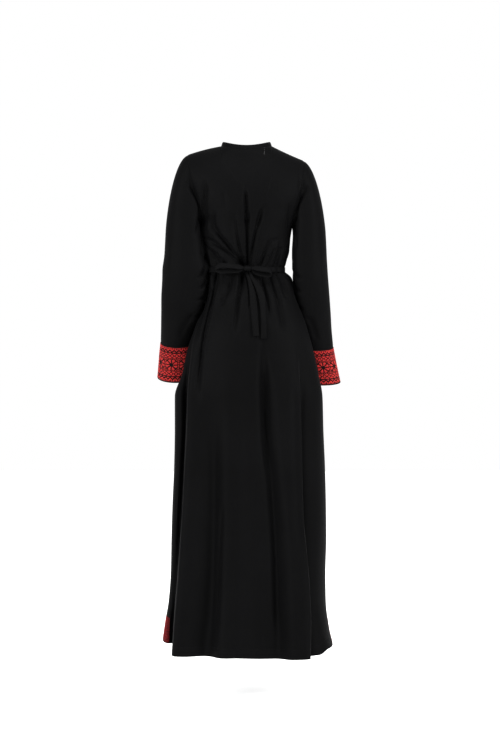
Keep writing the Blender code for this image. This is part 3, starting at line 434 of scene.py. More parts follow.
# Creases of the sleeves: across is the distance round the arm from the middle of its back,
# towards the body.
SLEEVE_CREASES = {
    "left": folds(
        (18, 18, 3.2, 2.2, (84, -165), (82, -250), (80, -345)),
        (5, 7, -9.5, -10.1, (-20, -76), (10, -112), (40, -152), (56, -190)),
        (7, 9, -6.1, -3.2, (52, -105), (46, -160), (22, -225)),
        (6, 7, -8.1, -4.9, (66, -160), (62, -210), (50, -280)),
        (10, 10, -3.2, -2, (30, -80), (24, -130)),
        (7, 8, -8.9, -3.2, (76, -270), (50, -315), (20, -345)),
        (6, 7, -10.9, -4.1, (78, -310), (54, -352), (30, -372)),
        (6, 7, -10.1, -3.6, (76, -350), (50, -392), (24, -404)),
        (6, 7, -8.1, -2.8, (70, -400), (46, -440), (16, -452)),
        (12, 12, 2.4, 1.8, (-40, -230), (-34, -330), (-30, -440)),
        (8, 8, -3.6, -2.8, (20, -430), (10, -470), (4, -500)),
    ),
    "right": folds(
        (5, 7, -9.5, -10.1, (-34, -78), (0, -112), (30, -148), (50, -190)),
        (5, 6, -8.1, -4.9, (26, -20), (24, -55), (30, -95)),
        (4, 5, -7.3, -4.9, (38, -30), (36, -70), (46, -110)),
        (6, 7, -8.9, -4.1, (62, -140), (54, -200), (36, -260)),
        (7, 8, -8.1, -2.8, (78, -285), (52, -325), (20, -345)),
        (6, 7, -9.7, -3.6, (76, -330), (52, -365), (26, -382)),
        (6, 7, -8.1, -2.8, (74, -375), (50, -412), (22, -430)),
        (12, 12, 2.1, 1.8, (-36, -260), (-30, -360), (-24, -470)),
        (8, 8, -3.6, -2.8, (10, -440), (2, -480), (-4, -512)),
    ),
}
# The valley beside the armhole seam at the back: its depth, its distance and its width.
VALLEY = 0.0045
VALLEY_PLACE = 0.006
VALLEY_WIDTH = 0.004
VALLEY_ANGLES = (0.28 * math.pi, 0.92 * math.pi)   # where it starts and ends round the arm
VALLEY_FADE = 0.5
SLEEVE_CALM = (0.012, 0.020)   # creases start this far from the armhole and from the cuff
ARM = 0.053               # usual distance from a sleeve's middle to its cloth
CAP_ROWS = 26             # rows of a sleeve above and below its first ring
SLEEVE_ROWS = 62
CUFF_ROWS = 46
CUFF_COLUMNS = 132
ALL_FOLDS = {"back": BACK_FOLDS + BACK_CREASES, "front": FRONT_FOLDS + FRONT_CREASES}

FACING_STITCH = 0.0105    # how far below the neck's edge the facing is stitched
FACING_END = 0.004        # and how far from the neck's corners that ends
TACKS = ((0.0486, 0.0150), (0.0486, 0.0030))   # x and level of the white tacks below the neck
TACK_LENGTH = 0.0080
TACK_LIFT = 0.0003
# Stitches: from one to the next, and the length of each.
FINE_STITCH = (0.0030, 0.0022)
HEM_STITCH = (0.0042, 0.0026)
STRAP_STITCH = (0.0028, 0.0020)
# A stitch is a small bar: rings along it, with the height and the width of each.
BAR_RINGS = ((0.0, 0.25, 0.6), (0.25, 1.0, 1.0), (0.75, 1.0, 1.0), (1.0, 0.25, 0.6))
BAR_SUNK = 0.3            # a stitch's sides reach this share of its height into the cloth
# The strap of belt and bow: its rounded edges, its pressed lines and its gathers at the knot.
STRAP_THICK = 0.0021
STRAP_ROUND = 0.70        # share of its thickness that is gone at its edges
STRAP_RIDGE = 0.00022     # depth of its two pressed lines, their place and their width
RIDGE_PLACE = 0.78
RIDGE_WIDTH = 0.07
STRAP_PINCH = 0.016       # length over which it narrows, and height of the gathers there
STRAP_CRIMP = 0.0016
BELT_INSET = 3            # columns between the belt's end and the middle of the knot
BELT_PINCH = 0.72         # share of the belt's width that is left at the knot
BELT_SWAY = 0.0006        # how far the belt wanders up and down
TAIL_STARTS = {"left": 0.4, "right": 2.2}   # phase of the turns of the hanging ends
KNOT_RINGS = 40           # rings and spokes of the knot's mesh
KNOT_SPOKES = 64
# Creases of the knot: place from -1 to 1 across it, depth and width, as shares of its radius.
KNOT_CREASES = ((-0.45, 0.10, 0.10), (0.20, 0.12, 0.09), (0.68, 0.08, 0.10))

# Cloths: dark and light tone, distance between threads, and roughness.
CLOTHS = {
    "black_crepe": ((0.0014, 0.0014, 0.0015), (0.0034, 0.0034, 0.0037), 0.00055, 0.62),
    "strap_crepe": ((0.0017, 0.0017, 0.0018), (0.0040, 0.0040, 0.0043), 0.00055, 0.60),
    "cuff_ground": ((0.0036, 0.0030, 0.0030), (0.0080, 0.0060, 0.0060), 0.00080, 0.70),
}
# Threads: dark and light tone, roughness and shine.
THREADS = {
    "black_thread": ((0.002, 0.002, 0.002), (0.006, 0.006, 0.0065), 0.60, 0.07),
    "strap_thread": ((0.0015, 0.0015, 0.0015), (0.0034, 0.0034, 0.0036), 0.85, 0.0),
    "white_thread": ((0.07, 0.07, 0.07), (0.12, 0.12, 0.12)),
}
REDS = {
    "red_thread": ((0.260, 0.007, 0.007), (0.440, 0.016, 0.012)),
    "deep_red_thread": ((0.175, 0.005, 0.009), (0.315, 0.010, 0.014)),
    "bright_red_thread": ((0.350, 0.012, 0.007), (0.530, 0.028, 0.014)),
}
# Red thread of the gores: the cuffs' reds darkened to about half, as painted shade.
SHADED_GORE_REDS = {
    "gore_red_painted_shade": ((0.110, 0.006, 0.008), (0.220, 0.012, 0.014)),
    "gore_deep_red_painted_shade": ((0.080, 0.005, 0.009), (0.150, 0.010, 0.014)),
    "gore_bright_red_painted_shade": ((0.160, 0.010, 0.008), (0.280, 0.020, 0.016)),
}

FLOOR = -1.50             # the wearer's floor
FLOOR_GLOW = 0.20         # light of the floor itself, so that hardly a shadow shows on it
WORLD = 1.0               # brightness of the white surroundings
GAMMA = 0.80              # the picture's contrast
CAMERA_PLACE = (0.0097, -5.0, -0.48)   # the camera, how far it tips down and its lens
CAMERA_TIP = math.atan(45 / 1805)
CAMERA_LENS = 1805 / 750 * 36.0
# Studio lights: place, what they face, width and height, and power.
LIGHTS = (
    ("key", (3.2, -2.6, 0.8), (0.0, 0.0, -0.6), (1.2, 2.4), 258.0),
    ("fill", (-3.2, -2.8, 0.5), (0.0, 0.0, -0.6), (1.2, 2.4), 236.0),
    ("top", (0.0, -1.6, 2.6), (0.0, 0.0, -0.4), (1.6, 1.0), 90.0),
)


def ease(share):
    """0 to 1 with a level start and end."""
    share = np.clip(share, 0.0, 1.0)
    return share * share * (3.0 - 2.0 * share)


def through(places, values, at):
    """A smooth curve through a table's values that never overshoots them."""
    order = np.argsort(places)
    places = np.asarray(places, float)[order]
    values = np.asarray(values, float)[order]
    steps = np.diff(places)
    slopes = np.diff(values) / steps
    bends = np.zeros(len(places))
    bends[0], bends[-1] = slopes[0], slopes[-1]
    for i in range(1, len(places) - 1):
        before, after = slopes[i - 1], slopes[i]
        if before * after > 0:
            first = 2 * steps[i] + steps[i - 1]
            second = steps[i] + 2 * steps[i - 1]
            bends[i] = (first + second) / (first / before + second / after)
    at = np.asarray(at, float)
    inside = np.clip(at, places[0], places[-1])
    i = np.clip(np.searchsorted(places, inside) - 1, 0, len(steps) - 1)
    t = (inside - places[i]) / steps[i]
    curve = (
        values[i] * (1 + 2 * t) * (1 - t) ** 2
        + steps[i] * bends[i] * t * (1 - t) ** 2
        + values[i + 1] * t * t * (3 - 2 * t)
        + steps[i] * bends[i + 1] * t * t * (t - 1)
    )
    return curve + np.where(at < places[0], bends[0], bends[-1]) * (at - inside)


def column(table, name, at):
    """One named column of a table, read at the given places of its first column."""
    return through([row[0] for row in table], [getattr(row, name) for row in table], at)


def unit(vectors):
    """The same directions, one long."""
    return vectors / np.maximum(np.linalg.norm(vectors, axis=-1, keepdims=True), 1e-12)


def wrapped(grid):
    """A closed grid with its first column repeated at its end."""
    return np.concatenate([grid, grid[:, :1]], axis=1)


def smoothed(points):
    """All rows but the first and last, each evened out with its two neighbours."""
    return 0.25 * points[:-2] + 0.5 * points[1:-1] + 0.25 * points[2:]


def lengths_along(points, axis):
    """Distance of each point of a grid from the start of its row or column."""
    steps = np.linalg.norm(np.diff(points, axis=axis), axis=-1)
    start = np.zeros_like(np.take(steps, [0], axis=axis))
    return np.concatenate([start, np.cumsum(steps, axis=axis)], axis=axis)


def read_along(values, run, at):
    """A path's points or normals, read at distances along it."""
    return np.stack([np.interp(at, run, values[:, i]) for i in range(3)], axis=-1)


def fold_sum(folds, x, level):
    """How far the folds move each place of a panel outwards."""
    height = np.zeros(np.broadcast(x, level).shape)
    for fold in folds:
        path = np.array(fold.path)
        start, end = path[0, 1], path[-1, 1]
        middle = through(path[:, 1], path[:, 0], level)
        slope = (through(path[:, 1], path[:, 0], level - FOLD_STEP) - middle) / FOLD_STEP
        off = (x - middle) / np.sqrt(1.0 + slope**2)
        width = np.where(off < 0, fold.left, fold.right)
        share = (start - level) / (start - end)
        if abs(start - WAIST) < BELT_NEAR:
            ends = ease((WAIST - level) / UNDER_BELT)
        else:
            ends = ease(share / FOLD_END)
        if abs(end - WAIST) < BELT_NEAR:
            ends = ends * ease((level - WAIST) / UNDER_BELT)
        elif end > HEM:
            ends = ends * ease((1.0 - share) / FOLD_END)
        size = fold.first + (fold.last - fold.first) * np.clip(share, 0.0, 1.0)
        height += size * ends * np.exp(-((off / width) ** 2))
    return height


def fold_height(folds, x, level):
    """The same, pressed almost flat under the belt."""
    free = ease(np.abs(level - WAIST) / BELT_REACH)
    return fold_sum(folds, x, level) * (BELT_PRESS + (1.0 - BELT_PRESS) * free)


def gather_height(angle, level):
    """Small uneven gathers above and below the belt, almost flat under it."""
    away = np.abs(level - WAIST)
    reach = np.exp(-(((away - GATHER_START) / GATHER_REACH) ** 2))
    free = BELT_PRESS + (1.0 - BELT_PRESS) * ease(away / GATHER_START)
    waves = sum(g.height * np.sin(g.waves * angle + g.phase) for g in GATHERS)
    return waves * reach * free


def press_by_sleeves(x, y, level):
    """x of each place of the skirt once the sleeves have pressed its sides in."""
    pressed = x.copy()
    for side, sign in SIDES.items():
        rings = SLEEVES[side] + CUFFS[side][1:]
        at = np.clip(level, rings[-1].level, rings[0].level)
        fade = 1.0 - ease((PRESS_FADE[0] - level) / (PRESS_FADE[0] - PRESS_FADE[1]))
        reach = (column(rings, "half_width", at) + SLEEVE_CLEARANCE) * fade
        depth = column(rings, "half_depth", at) * PRESS_DEPTH + SLEEVE_CLEARANCE
        behind = column(rings, "y", at) - y
        off = np.abs(behind) / depth
        power = np.where(behind > 0, squareness(at), 2.0)
        bump = np.clip(1.0 - off**power, 0.0, 1.0) ** (1.0 / power)
        bump = bump - PRESS_FLARE * np.clip(off - 1.0, 0.0, None)
        limit = column(rings, "x", at) - reach * bump + PRESS_RELEASE * (1.0 - fade)
        outward = sign * pressed
        sharp = np.logaddexp(-outward / PRESS_SOFTNESS, -limit / PRESS_SOFTNESS)
        share = ease((PRESS_TOP - level) / PRESS_START) * (outward > PRESS_INNER)
        pressed = pressed + share * (-sign * PRESS_SOFTNESS * sharp - pressed)
    return pressed


def body_rings(levels):
    """Closed rings of the body below the underarms and their outward normals.

    A ring starts at the left side seam and runs round the back to the right one.
    """
    angle = np.arange(ROUND) * 2 * math.pi / ROUND
    levels = np.asarray(levels, float)[:, None]
    left, right = column(BODY, "left", levels), column(BODY, "right", levels)
    power = 2.0 / column(BODY, "square", levels)
    across = np.sign(np.cos(angle)) * np.abs(np.cos(angle)) ** power
    along = np.sign(np.sin(angle)) * np.abs(np.sin(angle)) ** power
    depth = np.where(np.sin(angle) >= 0, column(BODY, "back", levels), column(BODY, "front", levels))
    x = (right - left) / 2 - (right + left) / 2 * across
    y = column(BODY, "forward", levels) - depth * along
    start, full = HEM_LIFT_CORNERS
    corner = ease((np.abs(np.cos(angle)) - start) / (full - start))
    lift = np.where(np.cos(angle) > 0, LEFT_HEM_LIFT, RIGHT_HEM_LIFT) * corner
    z = levels + lift * ease((HEM_LIFT_START - levels) / (HEM_LIFT_START - HEM))
    x = press_by_sleeves(x, y, z)
    rings = np.stack([x, y, z], axis=-1)
    normals = ring_normals(rings)
    side = ease((np.abs(np.sin(angle)) - SIDE_CALM[0]) / (SIDE_CALM[1] - SIDE_CALM[0]))
    back = fold_height(ALL_FOLDS["back"], x, z) * side
    front = fold_height(ALL_FOLDS["front"], x, z) * side
    height = np.where(np.sin(angle) >= 0, back, front) + gather_height(angle, z)
    rings = rings + normals * height[..., None]
    hollow = fold_sum(BACK_HOLLOWS, rings[..., 0], z) * side
    rings[..., 1] += np.where(np.sin(angle) >= 0, hollow, 0.0)
    return rings, ring_normals(rings)


def ring_normals(rings):
    """Outward normals of closed rings."""
    around = np.roll(rings, -1, axis=1) - np.roll(rings, 1, axis=1)
    return unit(np.cross(around, -np.gradient(rings, axis=0)))


def read_ring(ring, normals, start, end, shares):
    """Points and normals of a ring between two distances from its first point.

    Distances run along the ring; they may be below zero, on the far side of the seam.
    """
    closed, turned = np.vstack([ring, ring[:1]]), np.vstack([normals, normals[:1]])
    run = lengths_along(closed, 0)
    wanted = np.mod(start + (end - start) * shares, run[-1])
    return read_along(closed, run, wanted), unit(read_along(turned, run, wanted))


def seam_lengths(ring):
    """The whole length of a ring and the distance of the right side seam along it."""
    run = lengths_along(np.vstack([ring, ring[:1]]), 0)
    return run[-1], run[ROUND // 2]


def gore_reach(level):
    """Half of the gore's width at a level: nothing above its point."""
    return GORE_HALF_WIDTH * max(0.0, (GORE_TOP - level) / (GORE_TOP - HEM))


def seam_turn(level):
    """How far round the side seams have moved at a level."""
    return SEAM_TURN * ease((SEAM_TURN_START - level) / (SEAM_TURN_START - HEM))


def edge_shares(columns, edges):
    """Places from -1 to 1: even columns, and closer ones near both ends."""
    even = np.linspace(-1.0, 1.0, columns + 1)
    near = np.concatenate([-1.0 + np.array(edges), 1.0 - np.array(edges)])
    return np.unique(np.round(np.concatenate([even, near]), 6))


def panel_rows(half, across, rings, normals):
    """The rows of the back or the front between the side seams, from the underarm down."""
    points = []
    for ring, normal, level in zip(rings, normals, LEVELS):
        total, right_seam = seam_lengths(ring)
        edge = gore_reach(level) + SEAM_GAP
        if half == "back":
            start, end = edge, right_seam - edge
        else:
            start, end = total - edge, right_seam + edge
        turn = seam_turn(level)
        row, _ = read_ring(ring, normal, start + turn, end + turn, (across + 1.0) / 2)
        points.append(row)
    return np.array(points)


def top_edge(across, corner):
    """Places of the top edge: x, how far inside the neck opening, and the shoulder's level.

    across runs from -1 to 1; the neck's corners lie at its places -corner and corner.
    """
    tip_x = np.where(across < 0, YOKE[-1].left, YOKE[-1].right)
    tip = np.where(across < 0, LEFT_TIP_LEVEL, RIGHT_TIP_LEVEL)
    out = np.clip((np.abs(across) - corner) / (1.0 - corner), 0.0, 1.0)
    turn = np.clip(across / corner, -1.0, 1.0) * math.pi / 2
    x = np.sin(turn) * NECK_HALF_WIDTH + np.sign(across) * out * (tip_x - NECK_HALF_WIDTH)
    slope = np.where(across < 0, LEFT_SHOULDER_SLOPE, RIGHT_SHOULDER_SLOPE)
    drop = slope * out + (1.0 - slope) * out**2
    shoulder = NECK_SIDE_LEVEL + (tip - NECK_SIDE_LEVEL) * drop
    return x, np.cos(turn), shoulder


def yoke_rows(half, across, corner, rises):
    """The rows between the armholes, from just above the underarm to the top edge."""
    back = half == "back"
    sign = -1 if back else 1
    top_x, inside, shoulder = top_edge(across, corner)
    neck_depth = NECK_BACK if back else NECK_FRONT
    neck_level = NECK_BACK_LEVEL if back else NECK_FRONT_LEVEL
    sharp_y = neck_depth * inside + sign * SEAM_GAP * (inside < 1e-6)
    soft_y = NECK_DIP * neck_depth * np.exp(-((top_x / (NECK_DIP_WIDTH * NECK_HALF_WIDTH)) ** 2))
    top_z = shoulder + (neck_level - NECK_SIDE_LEVEL) * inside**2
    rows = []
    for rise in rises:
        left, right = column(YOKE, "left", rise), column(YOKE, "right", rise)
        even = ease(rise / EVEN_RISE)
        place = np.sin(across * math.pi / 2) * (1.0 - even) + across * even
        low_x = (right - left) / 2 + (right + left) / 2 * place
        high_x = top_x * np.where(across < 0, left / YOKE[-1].left, right / YOKE[-1].right)
        x = low_x + (high_x - low_x) * ease((rise - SPREAD_RISE) / (1.0 - SPREAD_RISE))
        place = np.clip(2 * (x - (right - left) / 2) / (right + left), -1.0, 1.0)
        top_y = soft_y + (sharp_y - soft_y) * ease((rise - NECK_RISE) / (1.0 - NECK_RISE))
        edge = ARMHOLE_DEPTH * math.sin(math.pi / 2 * min(1.0, rise / ROLL)) ** ARMHOLE_CURVE
        middle = column(YOKE, half, rise)
        bulge = (1.0 - np.abs(place) ** YOKE_SQUARE) ** (1 / YOKE_EDGE)
        full = sign * (edge + (middle - edge) * bulge)
        roll = max(0.0, (rise - ROLL) / (1.0 - ROLL))
        rolled = math.sqrt(max(0.0, 1.0 - roll**ROLL_CURVE))
        y = top_y + (full - top_y) * rolled
        z = UNDERARM + (top_z - UNDERARM) * rise
        rows.append(np.stack([x, y, z], axis=-1))
    return np.array(rows)


def grid_normals(points, sign):
    """Outward normals of an open grid."""
    return unit(np.cross(np.gradient(points, axis=1), -np.gradient(points, axis=0))) * sign


def tube_normals(points, sign):
    """Outward normals of a closed grid of the left (-1) or the right (1) side."""
    return ring_normals(points) * -sign


def groove(distance):
    """How far the cloth sinks in beside a seam."""
    return SEAM_SINK * np.exp(-((distance / SEAM_WIDTH) ** 2))


def body_panel(half, columns, rings, ring_facing):
    """The whole back or front as a grid: points and outward normals, top edge first."""
    across = edge_shares(columns, EDGE_SHARES)
    sign = 1 if half == "back" else -1
    lower = panel_rows(half, across, rings, ring_facing)
    rises = np.concatenate([[0.0], RISES])
    upper = yoke_rows(half, across, NECK_CORNER, rises)
    fade = 1.0 - ease(rises / JOIN_RISE)
    upper = upper + (lower[0] - upper[0]) * fade[:, None, None]
    upper = upper[1:][::-1]
    count = len(upper)
    points = np.concatenate([upper, lower])
    normals = grid_normals(points, sign)
    x, z = points[:count, :, 0], points[:count, :, 2]
    edge = ease((1.0 - np.abs(across)) / CALM_EDGE)
    height = fold_height(ALL_FOLDS[half], x, z) * ease((CALM_LEVEL - z) / CALM_FADE) * edge
    points[:count] += normals[:count] * height[..., None]
    first, last = count - SMOOTHED, count + SMOOTHED + 1
    for _ in range(SMOOTHINGS):
        points[first:last, 1:-1] = smoothed(points[first - 1 : last + 1, 1:-1])
    normals = grid_normals(points, sign)
    sides = lengths_along(points, 1)
    down = lengths_along(points, 0)
    sink = groove(sides) + groove(sides[:, -1:] - sides) + groove(down)
    hem = down[-1:] - down - HEM_TURN
    sink = sink + HEM_SINK * np.exp(-((hem / HEM_WIDTH) ** 2))
    points = points - normals * sink[..., None]
    normals = grid_normals(points, sign)
    slope = np.gradient(points[0, :, 2]) / np.gradient(points[0, :, 0])
    for i in np.flatnonzero(np.abs(points[0, :, 1]) < SHOULDER_SEAM):
        steep = math.hypot(1, slope[i])
        normals[0, i] = (-slope[i] / steep, 0.0, 1 / steep)
    return points, normals


def cloth_piece(name, outer, inner, material, closed=False):
    """A thin shell of cloth with a map of its weave: distances along its rows and columns.

    Rows run from top to bottom and columns run so that the outer grid faces out.
    """
    rows, columns = outer.shape[:2]
    spans = columns if closed else columns - 1
    wide = wrapped(outer) if closed else outer
    u = lengths_along(wide, 1)
    u = u - u[:, u.shape[1] // 2][:, None]
    v = -lengths_along(wide, 0)
    faces, maps = [], []

    def add(row, col, inside, turned=False):
        """Quads with the given rows and columns, on the outer (0) or the inner grid (1)."""
        corners = np.broadcast_arrays(row, col, inside)
        if turned:
            corners = [each[:, ::-1] for each in corners]
        row, col, inside = corners
        faces.append(row * columns + col % columns + inside * rows * columns)
        maps.append(np.stack([u[row, col], v[row, col]], axis=-1).reshape(-1, 2))

    late, mid = np.array((0, 0, 1, 1)), np.array((0, 1, 1, 0))   # which corners lie one further
    row, col = np.meshgrid(np.arange(rows - 1), np.arange(spans), indexing="ij")
    row, col = row.reshape(-1, 1) + mid, col.reshape(-1, 1) + late
    add(row, col, 0)
    add(row, col, 1, turned=True)
    along = np.arange(spans)[:, None] + late
    add(0, along, mid, turned=True)
    add(rows - 1, along, mid)
    if not closed:
        along = np.arange(rows - 1)[:, None] + late
        add(along, 0, mid)
        add(along, columns - 1, mid, turned=True)
    vertices = np.concatenate([outer.reshape(-1, 3), inner.reshape(-1, 3)])
    return new_piece(name, vertices, np.concatenate(faces), material, np.concatenate(maps))


def new_piece(name, vertices, faces, materials, uv=None):
    """A mesh of equal-sided faces, shaded smooth, riding on the dress."""
    faces = np.asarray(faces, np.int32)
    sides = faces.shape[1]
    mesh = bpy.data.meshes.new(name)
    mesh.vertices.add(len(vertices))
    mesh.vertices.foreach_set("co", np.asarray(vertices, np.float32).ravel())
    mesh.loops.add(faces.size)
    mesh.loops.foreach_set("vertex_index", faces.ravel())
    mesh.polygons.add(len(faces))
    mesh.polygons.foreach_set("loop_start", np.arange(0, faces.size, sides, dtype=np.int32))
    mesh.polygons.foreach_set("loop_total", np.full(len(faces), sides, np.int32))
    if uv is not None:
        layer = mesh.uv_layers.new(name="cloth")
        layer.data.foreach_set("uv", np.asarray(uv, np.float32).ravel())
    mesh.update(calc_edges=True)
    mesh.validate()
    for material in materials if isinstance(materials, list) else [materials]:
        mesh.materials.append(material)
    mesh.shade_smooth()
    mesh.set_sharp_from_angle(angle=SHARP_ANGLE)
    piece = bpy.data.objects.new(name, mesh)
    bpy.context.scene.collection.objects.link(piece)
    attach(piece, "root")
    return piece


def sheet_sizes(grid, closed=False):
    """Greatest width and length of a grid of cloth, and its area."""
    wide = wrapped(grid) if closed else grid
    across = wide[:, 1:] - wide[:, :-1]
    down = wide[1:] - wide[:-1]
    one = np.linalg.norm(np.cross(across[:-1], down[:, :-1]), axis=-1).sum()
    two = np.linalg.norm(np.cross(across[1:], down[:, 1:]), axis=-1).sum()
    width = np.linalg.norm(across, axis=-1).sum(axis=1).max()
    length = np.linalg.norm(down, axis=-1).sum(axis=0).max()
    return (float(width), float(length)), float((one + two) / 2)


def declare(grid, node, closed=False):
    """Hides the solid that the piece stands for and works out its sheet's sizes, which are not kept."""
    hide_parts(node)
    flat, area = sheet_sizes(grid, closed)
    area = min(area, flat[0] * flat[1])


def make_body(crepe):
    """The back and the front, with the hem turned up inside; returns their grids."""
    rings, facing = body_rings(LEVELS)
    panels = []
    for name, columns in (("back", BACK_COLUMNS), ("front", FRONT_COLUMNS)):
        panels.append(body_panel(name, columns, rings, facing))
    for name, (points, normals) in zip(("back", "front"), panels):
        from_hem = lengths_along(points[::-1], 0)[::-1]
        thick = SHEET * (1.0 + HEM_THICKER * (from_hem < HEM_TURN))
        inner = points - normals * thick[..., None]
        if name == "front":
            points, inner = points[:, ::-1], inner[:, ::-1]
        piece = cloth_piece(f"{name}_cloth", points, inner, crepe)
        declare(points, name)
    return (*panels[0], *panels[1])


def armhole(grid, side):
    """A panel's armhole edge, from the shoulder tip down to the underarm."""
    return grid[: len(RISES) + 1, 0 if side == "left" else -1]


def fine_rings(table, levels):
    """A table's rings at the given levels."""
    values = [column(table, name, levels) for name in Ring._fields[1:]]
    return [Ring(level, *(float(v[i]) for v in values)) for i, level in enumerate(levels)]


def squareness(level):
    """Exponent of a sleeve's section behind, on the body's side: squarer above the forearm."""
    return 2.0 + SLEEVE_SQUARE * ease((level - SQUARE_END) / SQUARE_FADE)


def sleeve_rings(side, rings, angle):
    """Rings round the arm: angle 0 is the outer side, a quarter turn the back."""
    sign = SIDES[side]
    made = []
    turn, rise = np.cos(angle), np.sin(angle)
    for ring in rings:
        power = np.where((turn < 0) & (rise > 0), 2.0 / squareness(ring.level), 1.0)
        out = ring.x + ring.half_width * np.sign(turn) * np.abs(turn) ** power
        away = -ring.half_depth * np.sign(rise) * np.abs(rise) ** power
        y = ring.y + away * math.cos(ring.tip)
        z = ring.level + away * math.sin(ring.tip)
        made.append(np.stack([sign * out, y, z], axis=-1))
    return np.array(made)


def sleeve_hole(side, panels):
    """The armhole as a closed ring of points, the back's edge first, and its underarm's place."""
    behind, before = [armhole(panel, side) for panel in panels]
    underarm = len(behind) - 1
    edge = np.concatenate([behind, before[1:-1][::-1]])
    edge[0] = (behind[0] + before[0]) / 2
    edge[underarm] = (behind[-1] + before[-1]) / 2
    return edge, underarm


def sleeve_grid(side, panels):
    """The sleeve's outer face as a closed grid, from its armhole to the cuff, and its angles."""
    sign = SIDES[side]
    hole, underarm = sleeve_hole(side, panels[:2])
    facing, _ = sleeve_hole(side, panels[2:])
    share = lengths_along(hole[: underarm + 1], 0)
    share = share / share[-1]
    angle = math.pi * np.concatenate([share, 2.0 - share[1:-1][::-1]])
    height = np.cos(angle / 2) ** 2
    out, down = column(LEAVES, "out", height), column(LEAVES, "down", height)
    leave = unit(np.stack([sign * out, 0 * height, -down], axis=-1))
    away = leave.copy()
    away[underarm] = (sign, 0.0, 0.0)
    start = hole - unit(facing) * TUCK - away * TUCK / 2
    table = SLEEVES[side]
    levels = np.linspace(table[0].level, table[-1].level, SLEEVE_ROWS)
    lower = sleeve_rings(side, fine_rings(table, levels), angle)
    end = lower[0]
    reach = np.linalg.norm(end - start, axis=1)[:, None]
    first = start + leave * reach * column(LEAVES, "guide", height)[:, None]
    second = end + np.array((0.0, 0.0, ARRIVE_GUIDE)) * reach
    t = (np.arange(CAP_ROWS) / CAP_ROWS)[:, None, None]
    cap = (1 - t) ** 3 * start + 3 * (1 - t) ** 2 * t * first
    cap = cap + (3 * (1 - t) * t**2 * second + t**3 * end)
    outer = np.concatenate([cap, lower])
    rows = slice(CAP_ROWS - CAP_SMOOTHED, CAP_ROWS + CAP_SMOOTHED + 1)
    for _ in range(CAP_SMOOTHINGS):
        outer[rows] = smoothed(outer[rows.start - 1 : rows.stop + 1])
    return outer, angle


def make_sleeve(side, panels, crepe):
    """A sleeve with its creases and the valley beside its seam at the back."""
    sign = SIDES[side]
    outer, angle = sleeve_grid(side, panels)
    across = (angle - math.pi / 2) * ARM
    normals = tube_normals(outer, sign)
    down = lengths_along(outer, 0)
    left = down[-1:] - down
    calm = ease(down / SLEEVE_CALM[0]) * ease(left / SLEEVE_CALM[1])
    height = fold_sum(SLEEVE_CREASES[side], across, outer[..., 2]) * calm - groove(left)
    start, end = VALLEY_ANGLES
    behind = ease((angle - start) / VALLEY_FADE) * ease((end - angle) / VALLEY_FADE)
    height = height - VALLEY * behind * np.exp(-(((down - VALLEY_PLACE) / VALLEY_WIDTH) ** 2))
    outer = outer + normals * height[..., None]
    inner = outer - tube_normals(outer, sign) * SHEET
    if sign > 0:
        outer, inner = outer[:, ::-1], inner[:, ::-1]
    piece = cloth_piece(f"sleeve_{side}_cloth", outer, inner, crepe, closed=True)
    declare(outer, f"sleeve_{side}", closed=True)


def smooth_path(points, steps):
    """A smooth curve through a few points, at even steps of its length."""
    points = np.array(points)
    places = lengths_along(points, 0)
    fine = np.linspace(0.0, places[-1], steps + 1)
    return np.stack([natural_curve(places, values, fine) for values in points.T], axis=-1)


def natural_curve(places, values, at):
    """A natural cubic spline, read at the given places."""
    count = len(places)
    steps = np.diff(places)
    system = np.eye(count)
    target = np.zeros(count)
    for i in range(1, count - 1):
        system[i, i - 1] = steps[i - 1]
        system[i, i] = 2 * (steps[i - 1] + steps[i])
        system[i, i + 1] = steps[i]
        rise = (values[i + 1] - values[i]) / steps[i] - (values[i] - values[i - 1]) / steps[i - 1]
        target[i] = 6 * rise
    bend = np.linalg.solve(system, target)
    i = np.clip(np.searchsorted(places, at) - 1, 0, count - 2)
    left, right, step = at - places[i], places[i + 1] - at, steps[i]
    return (
        (bend[i] * right**3 + bend[i + 1] * left**3) / (6 * step)
        + (values[i] / step - bend[i] * step / 6) * right
        + (values[i + 1] / step - bend[i + 1] * step / 6) * left
    )


def bars(starts, ends, normals, width, height):
    """Small rounded bars, each from a start to an end and standing on its normal."""
    along = unit(ends - starts)
    side = unit(np.cross(along, normals)) * width / 2
    up = unit(np.cross(side, along)) * height
    rows = []
    for share, low, wide in BAR_RINGS:
        middle = starts + (ends - starts) * share
        for across, rise in ((-1.0, -BAR_SUNK), (-0.5, low), (0.5, low), (1.0, -BAR_SUNK)):
            rows.append(middle + side * wide * across + up * rise)
    vertices = np.stack(rows, axis=1)
    faces = []
    for ring in range(3):
        for k in range(4):
            a, b = ring * 4 + k, ring * 4 + (k + 1) % 4
            faces.append([a, b, b + 4, a + 4])
    faces += [[3, 2, 1, 0], [12, 13, 14, 15]]
    faces = np.array(faces)[None] + 16 * np.arange(len(starts))[:, None, None]
    return vertices.reshape(-1, 3), faces.reshape(-1, 4)


def dashes(path, normals, stitch, lift=0.0):
    """Starts, ends and normals of even stitches along a path on the cloth."""
    pitch, length = stitch
    run = lengths_along(path, 0)
    count = int(run[-1] / pitch)
    first = (np.arange(count) + 0.2) * run[-1] / count
    facing = unit(read_along(normals, run, first + length / 2))
    starts = read_along(path, run, first) + facing * lift
    return starts, read_along(path, run, first + length) + facing * lift, facing


def stitch_piece(name, runs, material, width=0.0006, height=0.0003):
    """One piece holding the stitches of several runs."""
    starts, ends, facing = [np.concatenate(part) for part in zip(*runs)]
    return new_piece(name, *bars(starts, ends, facing, width, height), material)


def neck_edge(back, front):
    """The neck's edge as a closed ring, the back first."""
    parts = []
    for panel in (back, front):
        parts.append(panel[0, np.abs(panel[0, :, 0]) <= NECK_HALF_WIDTH + NECK_REACH])
    return np.concatenate([parts[0], parts[1][::-1][1:-1]])


